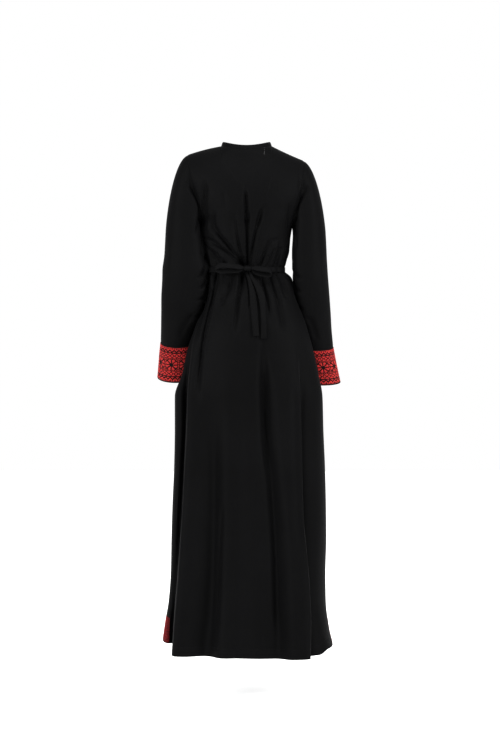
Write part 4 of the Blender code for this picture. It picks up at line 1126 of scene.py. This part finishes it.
def make_neck_band(back, front, crepe, thread):
    """A narrow folded band on the neck's edge, stitched along both of its edges."""
    ring = neck_edge(back, front)
    inward = unit((ring.mean(axis=0) - ring) * (1, 1, 0))
    rows = []
    for share in np.linspace(1.0, 0.0, len(NECK_BAND_ROUND)):
        climb = np.array((0.0, 0.0, NECK_BAND_LIFT * 0.4 + NECK_BAND_HEIGHT * share))
        bulge = NECK_BAND_BULGE * math.sin(math.pi * share) ** 0.5
        lean = NECK_BAND_INSET * 0.6 + NECK_BAND_LEAN * share - bulge
        rows.append(ring + climb + inward * lean)
    outer = np.array(rows)
    normals = tube_normals(outer, -1)
    thick = np.array(NECK_BAND_ROUND)[:, None, None]
    inner = outer - normals * NECK_BAND_THICK * thick
    outer = outer - normals * NECK_BAND_SHRINK * (1.0 - thick)
    piece = cloth_piece("neck_band_cloth", outer, inner, crepe, closed=True)
    closed, turned = wrapped(outer), wrapped(normals)
    runs = [dashes(closed[row], turned[row], FINE_STITCH) for row in (2, 11)]
    stitches = stitch_piece("neck_band_stitches", runs, thread)
    declare(outer, "neck_band", closed=True)


def down_columns(grid, columns, down, wanted):
    """A grid's values at the wanted distance down each of the columns."""
    read = []
    for col, distance in zip(columns, wanted):
        read.append(read_along(grid[:, col], down[:, col], distance))
    return np.array(read)


def panel_stitches(panels, thread):
    """Stitches of the neck facing and of the turned hem."""
    runs = []
    for panel, normals in (panels[:2], panels[2:]):
        down = lengths_along(panel, 0)
        middle = np.flatnonzero(np.abs(panel[0, :, 0]) <= NECK_HALF_WIDTH - FACING_END)
        every = np.arange(panel.shape[1])
        facing_row = (middle, down, np.full(len(middle), FACING_STITCH))
        hem_row = (every, down, down[-1] - HEM_TURN)
        for row, stitch in ((facing_row, FINE_STITCH), (hem_row, HEM_STITCH)):
            path, turned = down_columns(panel, *row), down_columns(normals, *row)
            runs.append(dashes(path, unit(turned), stitch))
    return stitch_piece("dress_stitches", runs, thread)


def place_on(panel, normals, x, level):
    """The point of a panel's upper half nearest to a place seen from behind, and its normal."""
    upper = slice(0, len(RISES))
    off = (panel[upper, :, 0] - x) ** 2 + (panel[upper, :, 2] - level) ** 2
    row, col = np.unravel_index(np.argmin(off), off.shape)
    return panel[row, col], normals[row, col]


def make_tacks(back, back_normals, white):
    """Two small white tack stitches below the back of the neck."""
    run = []
    for x, level in TACKS:
        high, _ = place_on(back, back_normals, x, level + TACK_LENGTH / 2)
        low, normal = place_on(back, back_normals, x, level - TACK_LENGTH / 2)
        run.append((high + normal * TACK_LIFT, low + normal * TACK_LIFT, normal))
    stitch_piece("tack_stitches", [np.array(run).swapaxes(0, 1)], white, 0.0006, 0.0004)


def strap(name, middles, across, facing, material, ends):
    """A folded and pressed strap along a path: across is its whole width, facing its outer side.

    ends narrows it into gathers where it enters a knot, as a share of its width.
    """
    run = lengths_along(middles, 0)
    pinch = (1.0 - ends[0]) * (1.0 - ease(run / STRAP_PINCH))
    pinch = pinch + (1.0 - ends[1]) * (1.0 - ease((run[-1] - run) / STRAP_PINCH))
    places = np.sin(np.linspace(-math.pi / 2, math.pi / 2, 15))
    edge = np.sqrt(np.clip(1.0 - np.abs(places) ** 6, 0.0, 1.0))
    ridge = STRAP_RIDGE * np.exp(-(((np.abs(places) - RIDGE_PLACE) / RIDGE_WIDTH) ** 2))
    half = STRAP_THICK / 2 * (1.0 - STRAP_ROUND + STRAP_ROUND * edge) - ridge
    crimp = STRAP_CRIMP * pinch[:, None] * np.cos(places * 3.0 * math.pi)
    wide = (across * (1.0 - pinch)[:, None] / 2)[:, None]
    middle = middles[:, None] + places[:, None] * wide + facing[:, None] * crimp[..., None]
    outer = middle + facing[:, None] * half[:, None]
    inner = middle - facing[:, None] * half[:, None]
    return cloth_piece(name, outer, inner, material), outer


def ribbon_frames(middles, across):
    """Outer normals of a ribbon along a path."""
    return unit(np.cross(across, -np.gradient(middles, axis=0)))


def stitched_strap(node, middles, across, facing, cloth, thread, ends):
    """A strap that stands for a node, with a row of stitches along each of its edges."""
    piece, outer = strap(f"{node}_strap", middles, across, facing, cloth, ends)
    runs = []
    for col in (3, 11):
        runs.append(dashes(outer[:, col], facing, STRAP_STITCH))
    stitches = stitch_piece(f"{node}_stitches", runs, thread, 0.0005, 0.00025)
    return piece, outer, stitches


def make_belt(back, crepe, thread):
    """The two halves of the belt, each from a side seam to the knot."""
    first = len(RISES)
    row = first + int(np.argmin(np.abs(LEVELS - WAIST)))
    reach = first + np.flatnonzero(np.abs(LEVELS - WAIST) <= BELT_WIDTH / 2)
    depth = back[reach, :, 1].min(axis=0)
    depth = np.minimum.reduce([np.roll(depth, shift) for shift in (-2, -1, 0, 1, 2)])
    centre = back[row].copy()
    centre[:, 1] = np.minimum(centre[:, 1], depth)
    centre[:, 2] = WAIST
    for _ in range(6):
        centre[1:-1] = smoothed(centre)
    facing = unit(np.cross(np.gradient(centre, axis=0), (0.0, 0.0, 1.0)))
    centre = centre + facing * (STRAP / 2 + SEAM * 2)
    middle = int(np.argmin(np.abs(centre[:, 0] - KNOT_X)))
    parts = {
        "left": (slice(2, middle - BELT_INSET), (1.0, BELT_PINCH)),
        "right": (slice(middle + BELT_INSET, -2), (BELT_PINCH, 1.0)),
    }
    for side, (part, ends) in parts.items():
        path, face = centre[part].copy(), facing[part]
        run = lengths_along(path, 0)
        path[:, 2] += BELT_SWAY * np.sin(run / 0.011) * np.sin(run / 0.029)
        up = np.array((0.0, 0.0, -BELT_WIDTH)) * np.ones((len(path), 1))
        piece, outer, stitches = stitched_strap(f"belt_{side}", path, up, face, crepe, thread, ends)
        declare(outer, f"belt_{side}")


def back_depth(back, x, level):
    """How far back the outer face of the back lies at places below the underarms."""
    lower = back[len(RISES) :]
    rows = np.interp(-np.asarray(level), -LEVELS, np.arange(len(LEVELS)))
    low = np.floor(rows).astype(int)
    high = np.minimum(low + 1, len(LEVELS) - 1)
    found = []
    for a, b, share, place in zip(low, high, rows - low, x):
        first = np.interp(place, lower[a, :, 0], lower[a, :, 1])
        second = np.interp(place, lower[b, :, 0], lower[b, :, 1])
        found.append(first + (second - first) * share)
    return np.array(found)


def make_knot(centre_y, crepe):
    """The knot: a strap wrapped round itself, with the creases of the wrap."""
    theta = math.pi * (0.004 + 0.992 * np.arange(KNOT_RINGS + 1)[:, None] / KNOT_RINGS)
    phi = np.arange(KNOT_SPOKES) * 2 * math.pi / KNOT_SPOKES
    x = np.cos(theta) * np.ones(KNOT_SPOKES)
    y = np.sin(theta) * np.cos(phi)
    z = np.sin(theta) * np.sin(phi)
    swell = 1.0 + 0.05 * np.cos(2 * phi + 0.6) * np.sin(theta)
    for place, depth, width in KNOT_CREASES:
        swell = swell - depth * np.exp(-(((x + 0.25 * z - place) / width) ** 2))
    square = (np.abs(x) ** 3 + (y**2 + z**2) ** 1.5) ** (1 / 3)
    grid = np.stack([x, y, z], axis=-1) * (swell / square)[..., None] * KNOT_RADII
    cos, sin = math.cos(KNOT_TURN), math.sin(KNOT_TURN)
    turn = np.array(((cos, 0.0, sin), (0.0, 1.0, 0.0), (-sin, 0.0, cos)))
    grid = grid @ turn.T + np.array((KNOT_X, centre_y, KNOT_LEVEL))
    row, col = np.meshgrid(np.arange(KNOT_RINGS), np.arange(KNOT_SPOKES), indexing="ij")
    row = row.reshape(-1, 1) + (0, 0, 1, 1)
    col = col.reshape(-1, 1) + (0, 1, 1, 0)
    uv = np.stack([row * 0.0007, col * 0.0010], axis=-1).reshape(-1, 2)
    faces = row * KNOT_SPOKES + col % KNOT_SPOKES
    piece = new_piece("knot_wrap", grid.reshape(-1, 3), faces, crepe, uv)
    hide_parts("knot")
    return piece


def make_bow(back, crepe, thread):
    """The knot on the belt and its two loops."""
    belt_face = float(back_depth(back, [KNOT_X], [WAIST])[0]) - 2 * SEAM - STRAP
    knot_y = belt_face - SEAM - KNOT_RADII[1]
    knot = make_knot(knot_y, crepe)
    for side, loop in LOOPS.items():
        path = smooth_path(loop.path, 96) + np.array((0.0, knot_y, 0.0))
        across = np.broadcast_to(unit(np.array(loop.lie)) * loop.width, path.shape)
        shape = (path, across, ribbon_frames(path, across))
        piece, outer, stitches = stitched_strap(f"loop_{side}", *shape, crepe, thread, (0.6, 0.6))
        declare(outer, f"loop_{side}")


def make_tails(back, crepe, thread):
    """The belt's two hanging ends, lying on the back and turning a little."""
    for side, tail in TAILS.items():
        x, level, width, lift = smooth_path(tail, 72).T
        beside = [back_depth(back, x + width * share, level) for share in (-0.5, -0.25, 0, 0.25, 0.5)]
        nearest = np.minimum.reduce(beside)
        for _ in range(4):
            nearest[1:-1] = smoothed(nearest)
        path = np.stack([x, nearest - lift - STRAP / 2, level], axis=-1)
        turn = 0.30 * np.sin(lengths_along(path, 0) / 0.045 + TAIL_STARTS[side])
        across = np.stack([width * np.cos(turn), -0.6 * width * np.sin(turn), 0 * width], axis=-1)
        shape = (path, across, ribbon_frames(path, across))
        piece, outer, stitches = stitched_strap(f"tail_{side}", *shape, crepe, thread, (0.8, 1.0))
        declare(outer, f"tail_{side}")


# The cuff's cross-stitch: a repeat charted from hearts, lozenges and a row of
# eight-petalled rosettes in octagons, the same above and below its middle.
HEARTS = (
    "rr...rr.",
    "rrr.rrr.",
    "rrr.rrr.",
    ".rrrrr..",
    "..rrr...",
    "...r...r",
    "r.....rr",
    "rr...rrr",
)
REPEAT = 24               # stitches across one rosette and its frame
REPEATS = 8
LINES = 66                # lines of stitches; the rosettes' middle lies between two of them
FRAME = 11                # stitches from a rosette's middle to its octagon, and to its corners
FRAME_CORNER = 17
PETAL_CORNER = 14
BAND_START = 0.0022       # plain cloth above and below the stitches of a cuff
BAND_END = 0.0034
CROSS_HEIGHT = 0.00042    # a cross stands this high, its arms' ends less, and its sides sink in
CROSS_ARM = 0.00016
CROSS_SINK = 0.00003
THREAD_SHARES = (0.52, 0.36, 0.12)   # of the crosses, by tone of the thread
CUFF_TURNS = {"left": 0.41, "right": 0.43}   # angle of a rosette's middle, as a share of pi
GORE_LAP = 0.0012         # how far a gore reaches under its neighbours
GORE_PITCH = 0.0016
GORE_MARGIN = 0.003       # plain cloth beside the stitches
GORE_THICK = 0.0015
GORE_SINK = 1.8           # how much deeper its seams are than the others
GORE_LINES = 43           # the stitched part of a gore, from the hem upwards


def rosette(across, down):
    """True where a stitch of a rosette, its frame or the corners between frames is red."""
    long, short = max(across, down), min(across, down)
    corner = across + down
    if corner > FRAME_CORNER + 1:
        return FRAME_CORNER + 2 < corner < FRAME_CORNER + 5
    if corner == FRAME_CORNER or long == FRAME:
        return short % 4 != 1
    return 2 < long < FRAME - 1 and 0 < short < long - 1 and corner < PETAL_CORNER


def cuff_chart(line, col):
    """True where the cuff's stitch is red."""
    down = abs(2 * line - LINES + 1) // 2
    if down <= FRAME:
        return rosette(abs(2 * (col % REPEAT) - REPEAT + 1) // 2, down)
    if down in (12, 22, 23):
        return False
    if down == 32:
        return True
    if down < 22:
        return abs(col % 8 - 4) + abs(down - 17) not in (3, 4)
    return HEARTS[31 - down][col % 8] == "r"


def gore_chart(across, line, edge):
    """True where a gore's stitch is red: across and line count from its middle and the hem."""
    if edge < 4 or line < 4:
        return min(edge, line) not in (1, 3)
    return (abs((across + 10) % 20 - 10) + abs(line % 20 - 10)) % 5 > 1


def cross_stitches(name, corners, normals, red, threads):
    """A small raised cross in each cell of a grid that the chart marks."""
    rows, cols = np.nonzero(red)
    ring = [corners[rows + down, cols + over] for down, over in ((0, 0), (0, 1), (1, 1), (1, 0))]
    up = unit(normals[rows, cols])
    middle = sum(ring) / 4
    points = [middle + up * CROSS_HEIGHT]
    for corner, after in zip(ring, ring[1:] + ring[:1]):
        side = (corner + after) / 2
        points.append(middle + (corner - middle) * 0.96 + up * CROSS_ARM)
        points.append(middle + (side - middle) * 0.84 - up * CROSS_SINK)
    vertices = np.stack(points, axis=1)
    faces = np.array([[0, 1 + (k + 1) % 8, 1 + k] for k in range(8)])
    faces = faces[None] + 9 * np.arange(len(rows))[:, None, None]
    piece = new_piece(name, vertices.reshape(-1, 3), faces.reshape(-1, 3), threads)
    tone = np.random.default_rng(11).choice(len(threads), size=len(rows), p=THREAD_SHARES)
    piece.data.polygons.foreach_set("material_index", np.repeat(tone, 8).astype(np.int32))
    return piece


def cuff_work(side, threads):
    """A cuff's band of cross-stitch."""
    table = CUFFS[side]
    columns = REPEATS * REPEAT
    start = CUFF_TURNS[side] * math.pi
    place = start + (np.arange(columns + 1) - REPEAT / 2) * 2 * math.pi / columns
    levels = np.linspace(table[0].level - BAND_START, table[-1].level + BAND_END, LINES + 1)
    corners = sleeve_rings(side, fine_rings(table, levels), place)
    red = np.array([[cuff_chart(line, col) for col in range(columns)] for line in range(LINES)])
    if SIDES[side] > 0:
        corners, red = corners[:, ::-1], red[:, ::-1]
    return cross_stitches(f"cuff_{side}_stitches", corners, grid_normals(corners, 1), red, threads)


def make_cuff(side, ground, threads, thread):
    """A cuff of black cloth with its band of cross-stitch and its turned edge."""
    sign = SIDES[side]
    table = CUFFS[side]
    angle = np.arange(CUFF_COLUMNS) * 2 * math.pi / CUFF_COLUMNS
    levels = np.linspace(table[0].level + 0.0005, table[-1].level, CUFF_ROWS)
    outer = sleeve_rings(side, fine_rings(table, levels), angle)
    normals = tube_normals(outer, sign)
    down = lengths_along(outer, 0)
    left = down[-1:] - down
    lip = 0.0007 * np.exp(-(((left - 0.0016) / 0.0012) ** 2))
    outer = outer + normals * (lip - 0.6 * groove(down) - 0.0003 * np.exp(-left / 0.0005))[..., None]
    inner = outer - normals * (0.0018 + 0.0004 * np.exp(-left / 0.003))[..., None]
    turned = wrapped(normals)
    if sign > 0:
        outer, inner, turned = outer[:, ::-1], inner[:, ::-1], turned[:, ::-1]
    piece = cloth_piece(f"cuff_{side}_cloth", outer, inner, ground, closed=True)
    work = cuff_work(side, threads)
    closed = wrapped(outer)
    runs = [dashes(closed[row], turned[row], FINE_STITCH, 0.0001) for row in (2, -3)]
    edging = stitch_piece(f"cuff_{side}_edging", runs, thread)
    declare(outer, f"cuff_{side}", closed=True)


def gore_rows(side, rings, levels, reaches, columns):
    """Points and normals round a side seam, at each level up to its reach on both sides."""
    shares = np.linspace(0.0, 1.0, columns + 1)
    points, facing = [], []
    for ring, normals, level, reach in zip(*rings, levels, reaches):
        middle = seam_turn(level) + (0.0 if side == "left" else seam_lengths(ring)[1])
        row, turned = read_ring(ring, normals, middle - reach, middle + reach, shares)
        points.append(row)
        facing.append(turned)
    return np.array(points), np.array(facing)


def gore_red(lines, half):
    """Which of a gore's stitches are red, the highest line first."""
    red = np.zeros((GORE_LINES, 2 * half), bool)
    for line in range(GORE_LINES):
        reach = (gore_reach(lines[line]) - GORE_MARGIN) / GORE_PITCH
        for across in range(-half, half):
            off = abs(across + 0.5)
            if off < reach:
                red[line, across + half] = gore_chart(across, GORE_LINES - 1 - line, int(reach - off))
    return red


def make_gores(crepe, threads):
    """The two embroidered side gores at the hem."""
    levels = np.linspace(GORE_TOP - 0.002, HEM, GORE_ROWS)
    lines = (HEM + GORE_MARGIN + np.arange(GORE_LINES + 1) * GORE_PITCH)[::-1]
    half = int(GORE_HALF_WIDTH / GORE_PITCH)
    rings, stitch_rings = body_rings(levels), body_rings(lines)
    reaches = [gore_reach(level) + GORE_LAP for level in levels]
    stitch_reaches = [half * GORE_PITCH] * len(lines)
    red = gore_red(lines, half)
    for side in SIDES:
        points, facing = gore_rows(side, rings, levels, reaches, GORE_COLUMNS)
        from_side = np.minimum(lengths_along(points, 1), lengths_along(points[:, ::-1], 1)[:, ::-1])
        points = points - facing * (GORE_SINK * groove(from_side))[..., None]
        piece = cloth_piece(f"gore_{side}_cloth", points, points - facing * GORE_THICK, crepe)
        corners, turned = gore_rows(side, stitch_rings, lines, stitch_reaches, 2 * half)
        work = cross_stitches(f"gore_{side}_stitches", corners, turned, red, threads)
        declare(points, f"gore_{side}")


def link(tree, socket, value):
    """Joins a socket to another one, or sets it to a plain value."""
    if isinstance(value, bpy.types.NodeSocket):
        tree.links.new(value, socket)
    else:
        socket.default_value = value


def node(tree, kind, inputs, **settings):
    """A new shader node with its settings and inputs; returns its first output."""
    made = tree.nodes.new(kind)
    for key, value in settings.items():
        setattr(made, key, value)
    for key, value in inputs.items():
        link(tree, made.inputs[key], value)
    return made.outputs[0]


def mixed(tree, operation, first, second):
    """Two values added or multiplied."""
    return node(tree, "ShaderNodeMath", {0: first, 1: second}, operation=operation)


def wave(tree, place, scale, direction, distortion, detail_scale=1.0):
    """Even bands across a direction, made wavy by the distortion."""
    inputs = {"Vector": place, "Scale": scale, "Distortion": distortion, "Detail": 1.0,
              "Detail Scale": detail_scale}
    made = node(tree, "ShaderNodeTexWave", inputs, wave_type="BANDS", bands_direction=direction)
    return made.node.outputs["Fac"]


def noise(tree, place, scale, detail, roughness=0.5):
    """Uneven grain of a given scale."""
    inputs = {"Vector": place, "Scale": scale, "Detail": detail, "Roughness": roughness}
    return node(tree, "ShaderNodeTexNoise", inputs).node.outputs["Fac"]


def new_material(name, inputs):
    """A new material, its nodes and its shader with the given inputs."""
    material = bpy.data.materials.new(name)
    material.use_nodes = True
    base = material.node_tree.nodes["Principled BSDF"]
    for key, value in inputs.items():
        base.inputs[key].default_value = value
    return material, material.node_tree, base


def dye(tree, base, tone, tones, places):
    """Colours the shader from its dark to its light tone between two places of a pattern."""
    colour = node(tree, "ShaderNodeValToRGB", {"Fac": tone})
    for element, tint, place in zip(colour.node.color_ramp.elements, tones, places):
        element.position = place
        element.color = (*tint, 1.0)
    tree.links.new(colour, base.inputs["Base Color"])


def cloth_material(name, dark, light, weave, roughness):
    """Woven cloth: threads across and along its own map, crepe grain and slow changes of tone."""
    material, tree, base = new_material(name, {
        "Roughness": roughness, "Specular IOR Level": 0.045, "Sheen Weight": 0.01,
        "Sheen Roughness": 0.45, "Sheen Tint": (0.80, 0.80, 0.85, 1.0),
    })
    mapped = node(tree, "ShaderNodeUVMap", {}, uv_map="cloth")
    place = node(tree, "ShaderNodeTexCoord", {}).node.outputs["Object"]
    scale = math.pi / 10 / weave
    warp = wave(tree, mapped, scale, "X", 0.6, 1.5)
    weft = wave(tree, mapped, scale * 0.86, "Y", 0.8, 1.5)
    threads = mixed(tree, "MULTIPLY", warp, weft)
    grain = noise(tree, place, 950.0, 2.0, 0.55)
    height = mixed(tree, "ADD", mixed(tree, "MULTIPLY", threads, 0.5), grain)
    fine = node(tree, "ShaderNodeBump", {"Height": height, "Strength": 0.45, "Distance": 0.00022})
    soft = node(tree, "ShaderNodeBump", {"Height": noise(tree, place, 85.0, 3.0), "Strength": 0.25,
                                         "Distance": 0.0012, "Normal": fine})
    tree.links.new(soft, base.inputs["Normal"])
    slow = mixed(tree, "MULTIPLY", noise(tree, place, 5.5, 3.0), 0.6)
    close = mixed(tree, "MULTIPLY", mixed(tree, "ADD", threads, grain), 0.30)
    dye(tree, base, mixed(tree, "ADD", slow, close), (dark, light), (0.30, 0.85))
    return material


def thread_material(name, dark, light, roughness=0.5, shine=0.30):
    """Stranded cotton thread: fine twisted strands with a soft shine and uneven dye."""
    material, tree, base = new_material(name, {
        "Roughness": roughness, "Specular IOR Level": shine, "Sheen Weight": shine / 2,
        "Sheen Roughness": 0.4,
    })
    place = node(tree, "ShaderNodeTexCoord", {}).node.outputs["Object"]
    strands = wave(tree, place, 1500.0, "DIAGONAL", 1.5)
    bump = node(tree, "ShaderNodeBump", {"Height": strands, "Strength": 0.5, "Distance": 0.00008})
    tree.links.new(bump, base.inputs["Normal"])
    uneven = mixed(tree, "MULTIPLY", noise(tree, place, 260.0, 2.0), 0.65)
    tone = mixed(tree, "ADD", mixed(tree, "MULTIPLY", strands, 0.35), uneven)
    dye(tree, base, tone, (dark, light), (0.25, 0.75))
    return material


def plain_floor():
    """A wide pale floor that is not part of the dress."""
    mesh = bpy.data.meshes.new("floor")
    corners = [(x * 8.0, y * 8.0, FLOOR) for x, y in ((-1, -1), (1, -1), (1, 1), (-1, 1))]
    mesh.from_pydata(corners, [], [(0, 1, 2, 3)])
    floor = bpy.data.objects.new("floor", mesh)
    bpy.context.scene.collection.objects.link(floor)
    white = (1.0, 1.0, 1.0, 1.0)
    material, _, _ = new_material("pale_floor", {
        "Base Color": white, "Roughness": 0.9, "Emission Color": white, "Emission Strength": FLOOR_GLOW,
    })
    mesh.materials.append(material)


def area_light(name, place, target, size, power):
    """A rectangular studio light that faces its target."""
    light = bpy.data.lights.new(name, "AREA")
    light.shape = "RECTANGLE"
    light.size, light.size_y = size
    light.energy = power
    lamp = bpy.data.objects.new(name, light)
    lamp.location = place
    way = Vector(target) - Vector(place)
    lamp.rotation_euler = way.to_track_quat("-Z", "Y").to_euler()
    bpy.context.scene.collection.objects.link(lamp)


def studio():
    """A plain white surrounding, its lights and the floor."""
    world = bpy.data.worlds.new("studio")
    world.use_nodes = True
    sky = world.node_tree.nodes["Background"]
    sky.inputs["Color"].default_value = (1.0, 1.0, 1.0, 1.0)
    sky.inputs["Strength"].default_value = WORLD
    scene = bpy.context.scene
    scene.world = world
    scene.view_settings.view_transform = "Standard"
    scene.view_settings.gamma = GAMMA
    for light in LIGHTS:
        area_light(*light)
    plain_floor()


def camera():
    """A long lens behind the dress, at the level of the waist, tipped slightly down."""
    lens = bpy.data.cameras.new("camera")
    lens.sensor_width = 36.0
    lens.lens = CAMERA_LENS
    lens.clip_end = 60.0
    view = bpy.data.objects.new("camera", lens)
    view.location = CAMERA_PLACE
    view.rotation_euler = (math.pi / 2 - CAMERA_TIP, 0.0, 0.0)
    bpy.context.scene.collection.objects.link(view)
    bpy.context.scene.camera = view


def main():
    camera()
    studio()
    crepe, strap_cloth, ground = [cloth_material(name, *look) for name, look in CLOTHS.items()]
    black, strap_thread, white = [thread_material(name, *look) for name, look in THREADS.items()]
    reds = [thread_material(name, *tones) for name, tones in REDS.items()]
    # the gores' reds are the cuffs' reds with painted shade, and with less shine
    shaded_gore_reds = [thread_material(name, *tones, 0.6, 0.06) for name, tones in SHADED_GORE_REDS.items()]
    panels = make_body(crepe)
    back, back_normals, front, front_normals = panels
    panel_stitches(panels, black)
    make_tacks(back, back_normals, white)
    for side in SIDES:
        make_sleeve(side, (back, front, back_normals, front_normals), crepe)
        make_cuff(side, ground, reds, black)
    make_gores(crepe, shaded_gore_reds)
    make_neck_band(back, front, crepe, black)
    make_belt(back, crepe, strap_thread)
    make_bow(back, strap_cloth, strap_thread)
    make_tails(back, strap_cloth, strap_thread)


main()
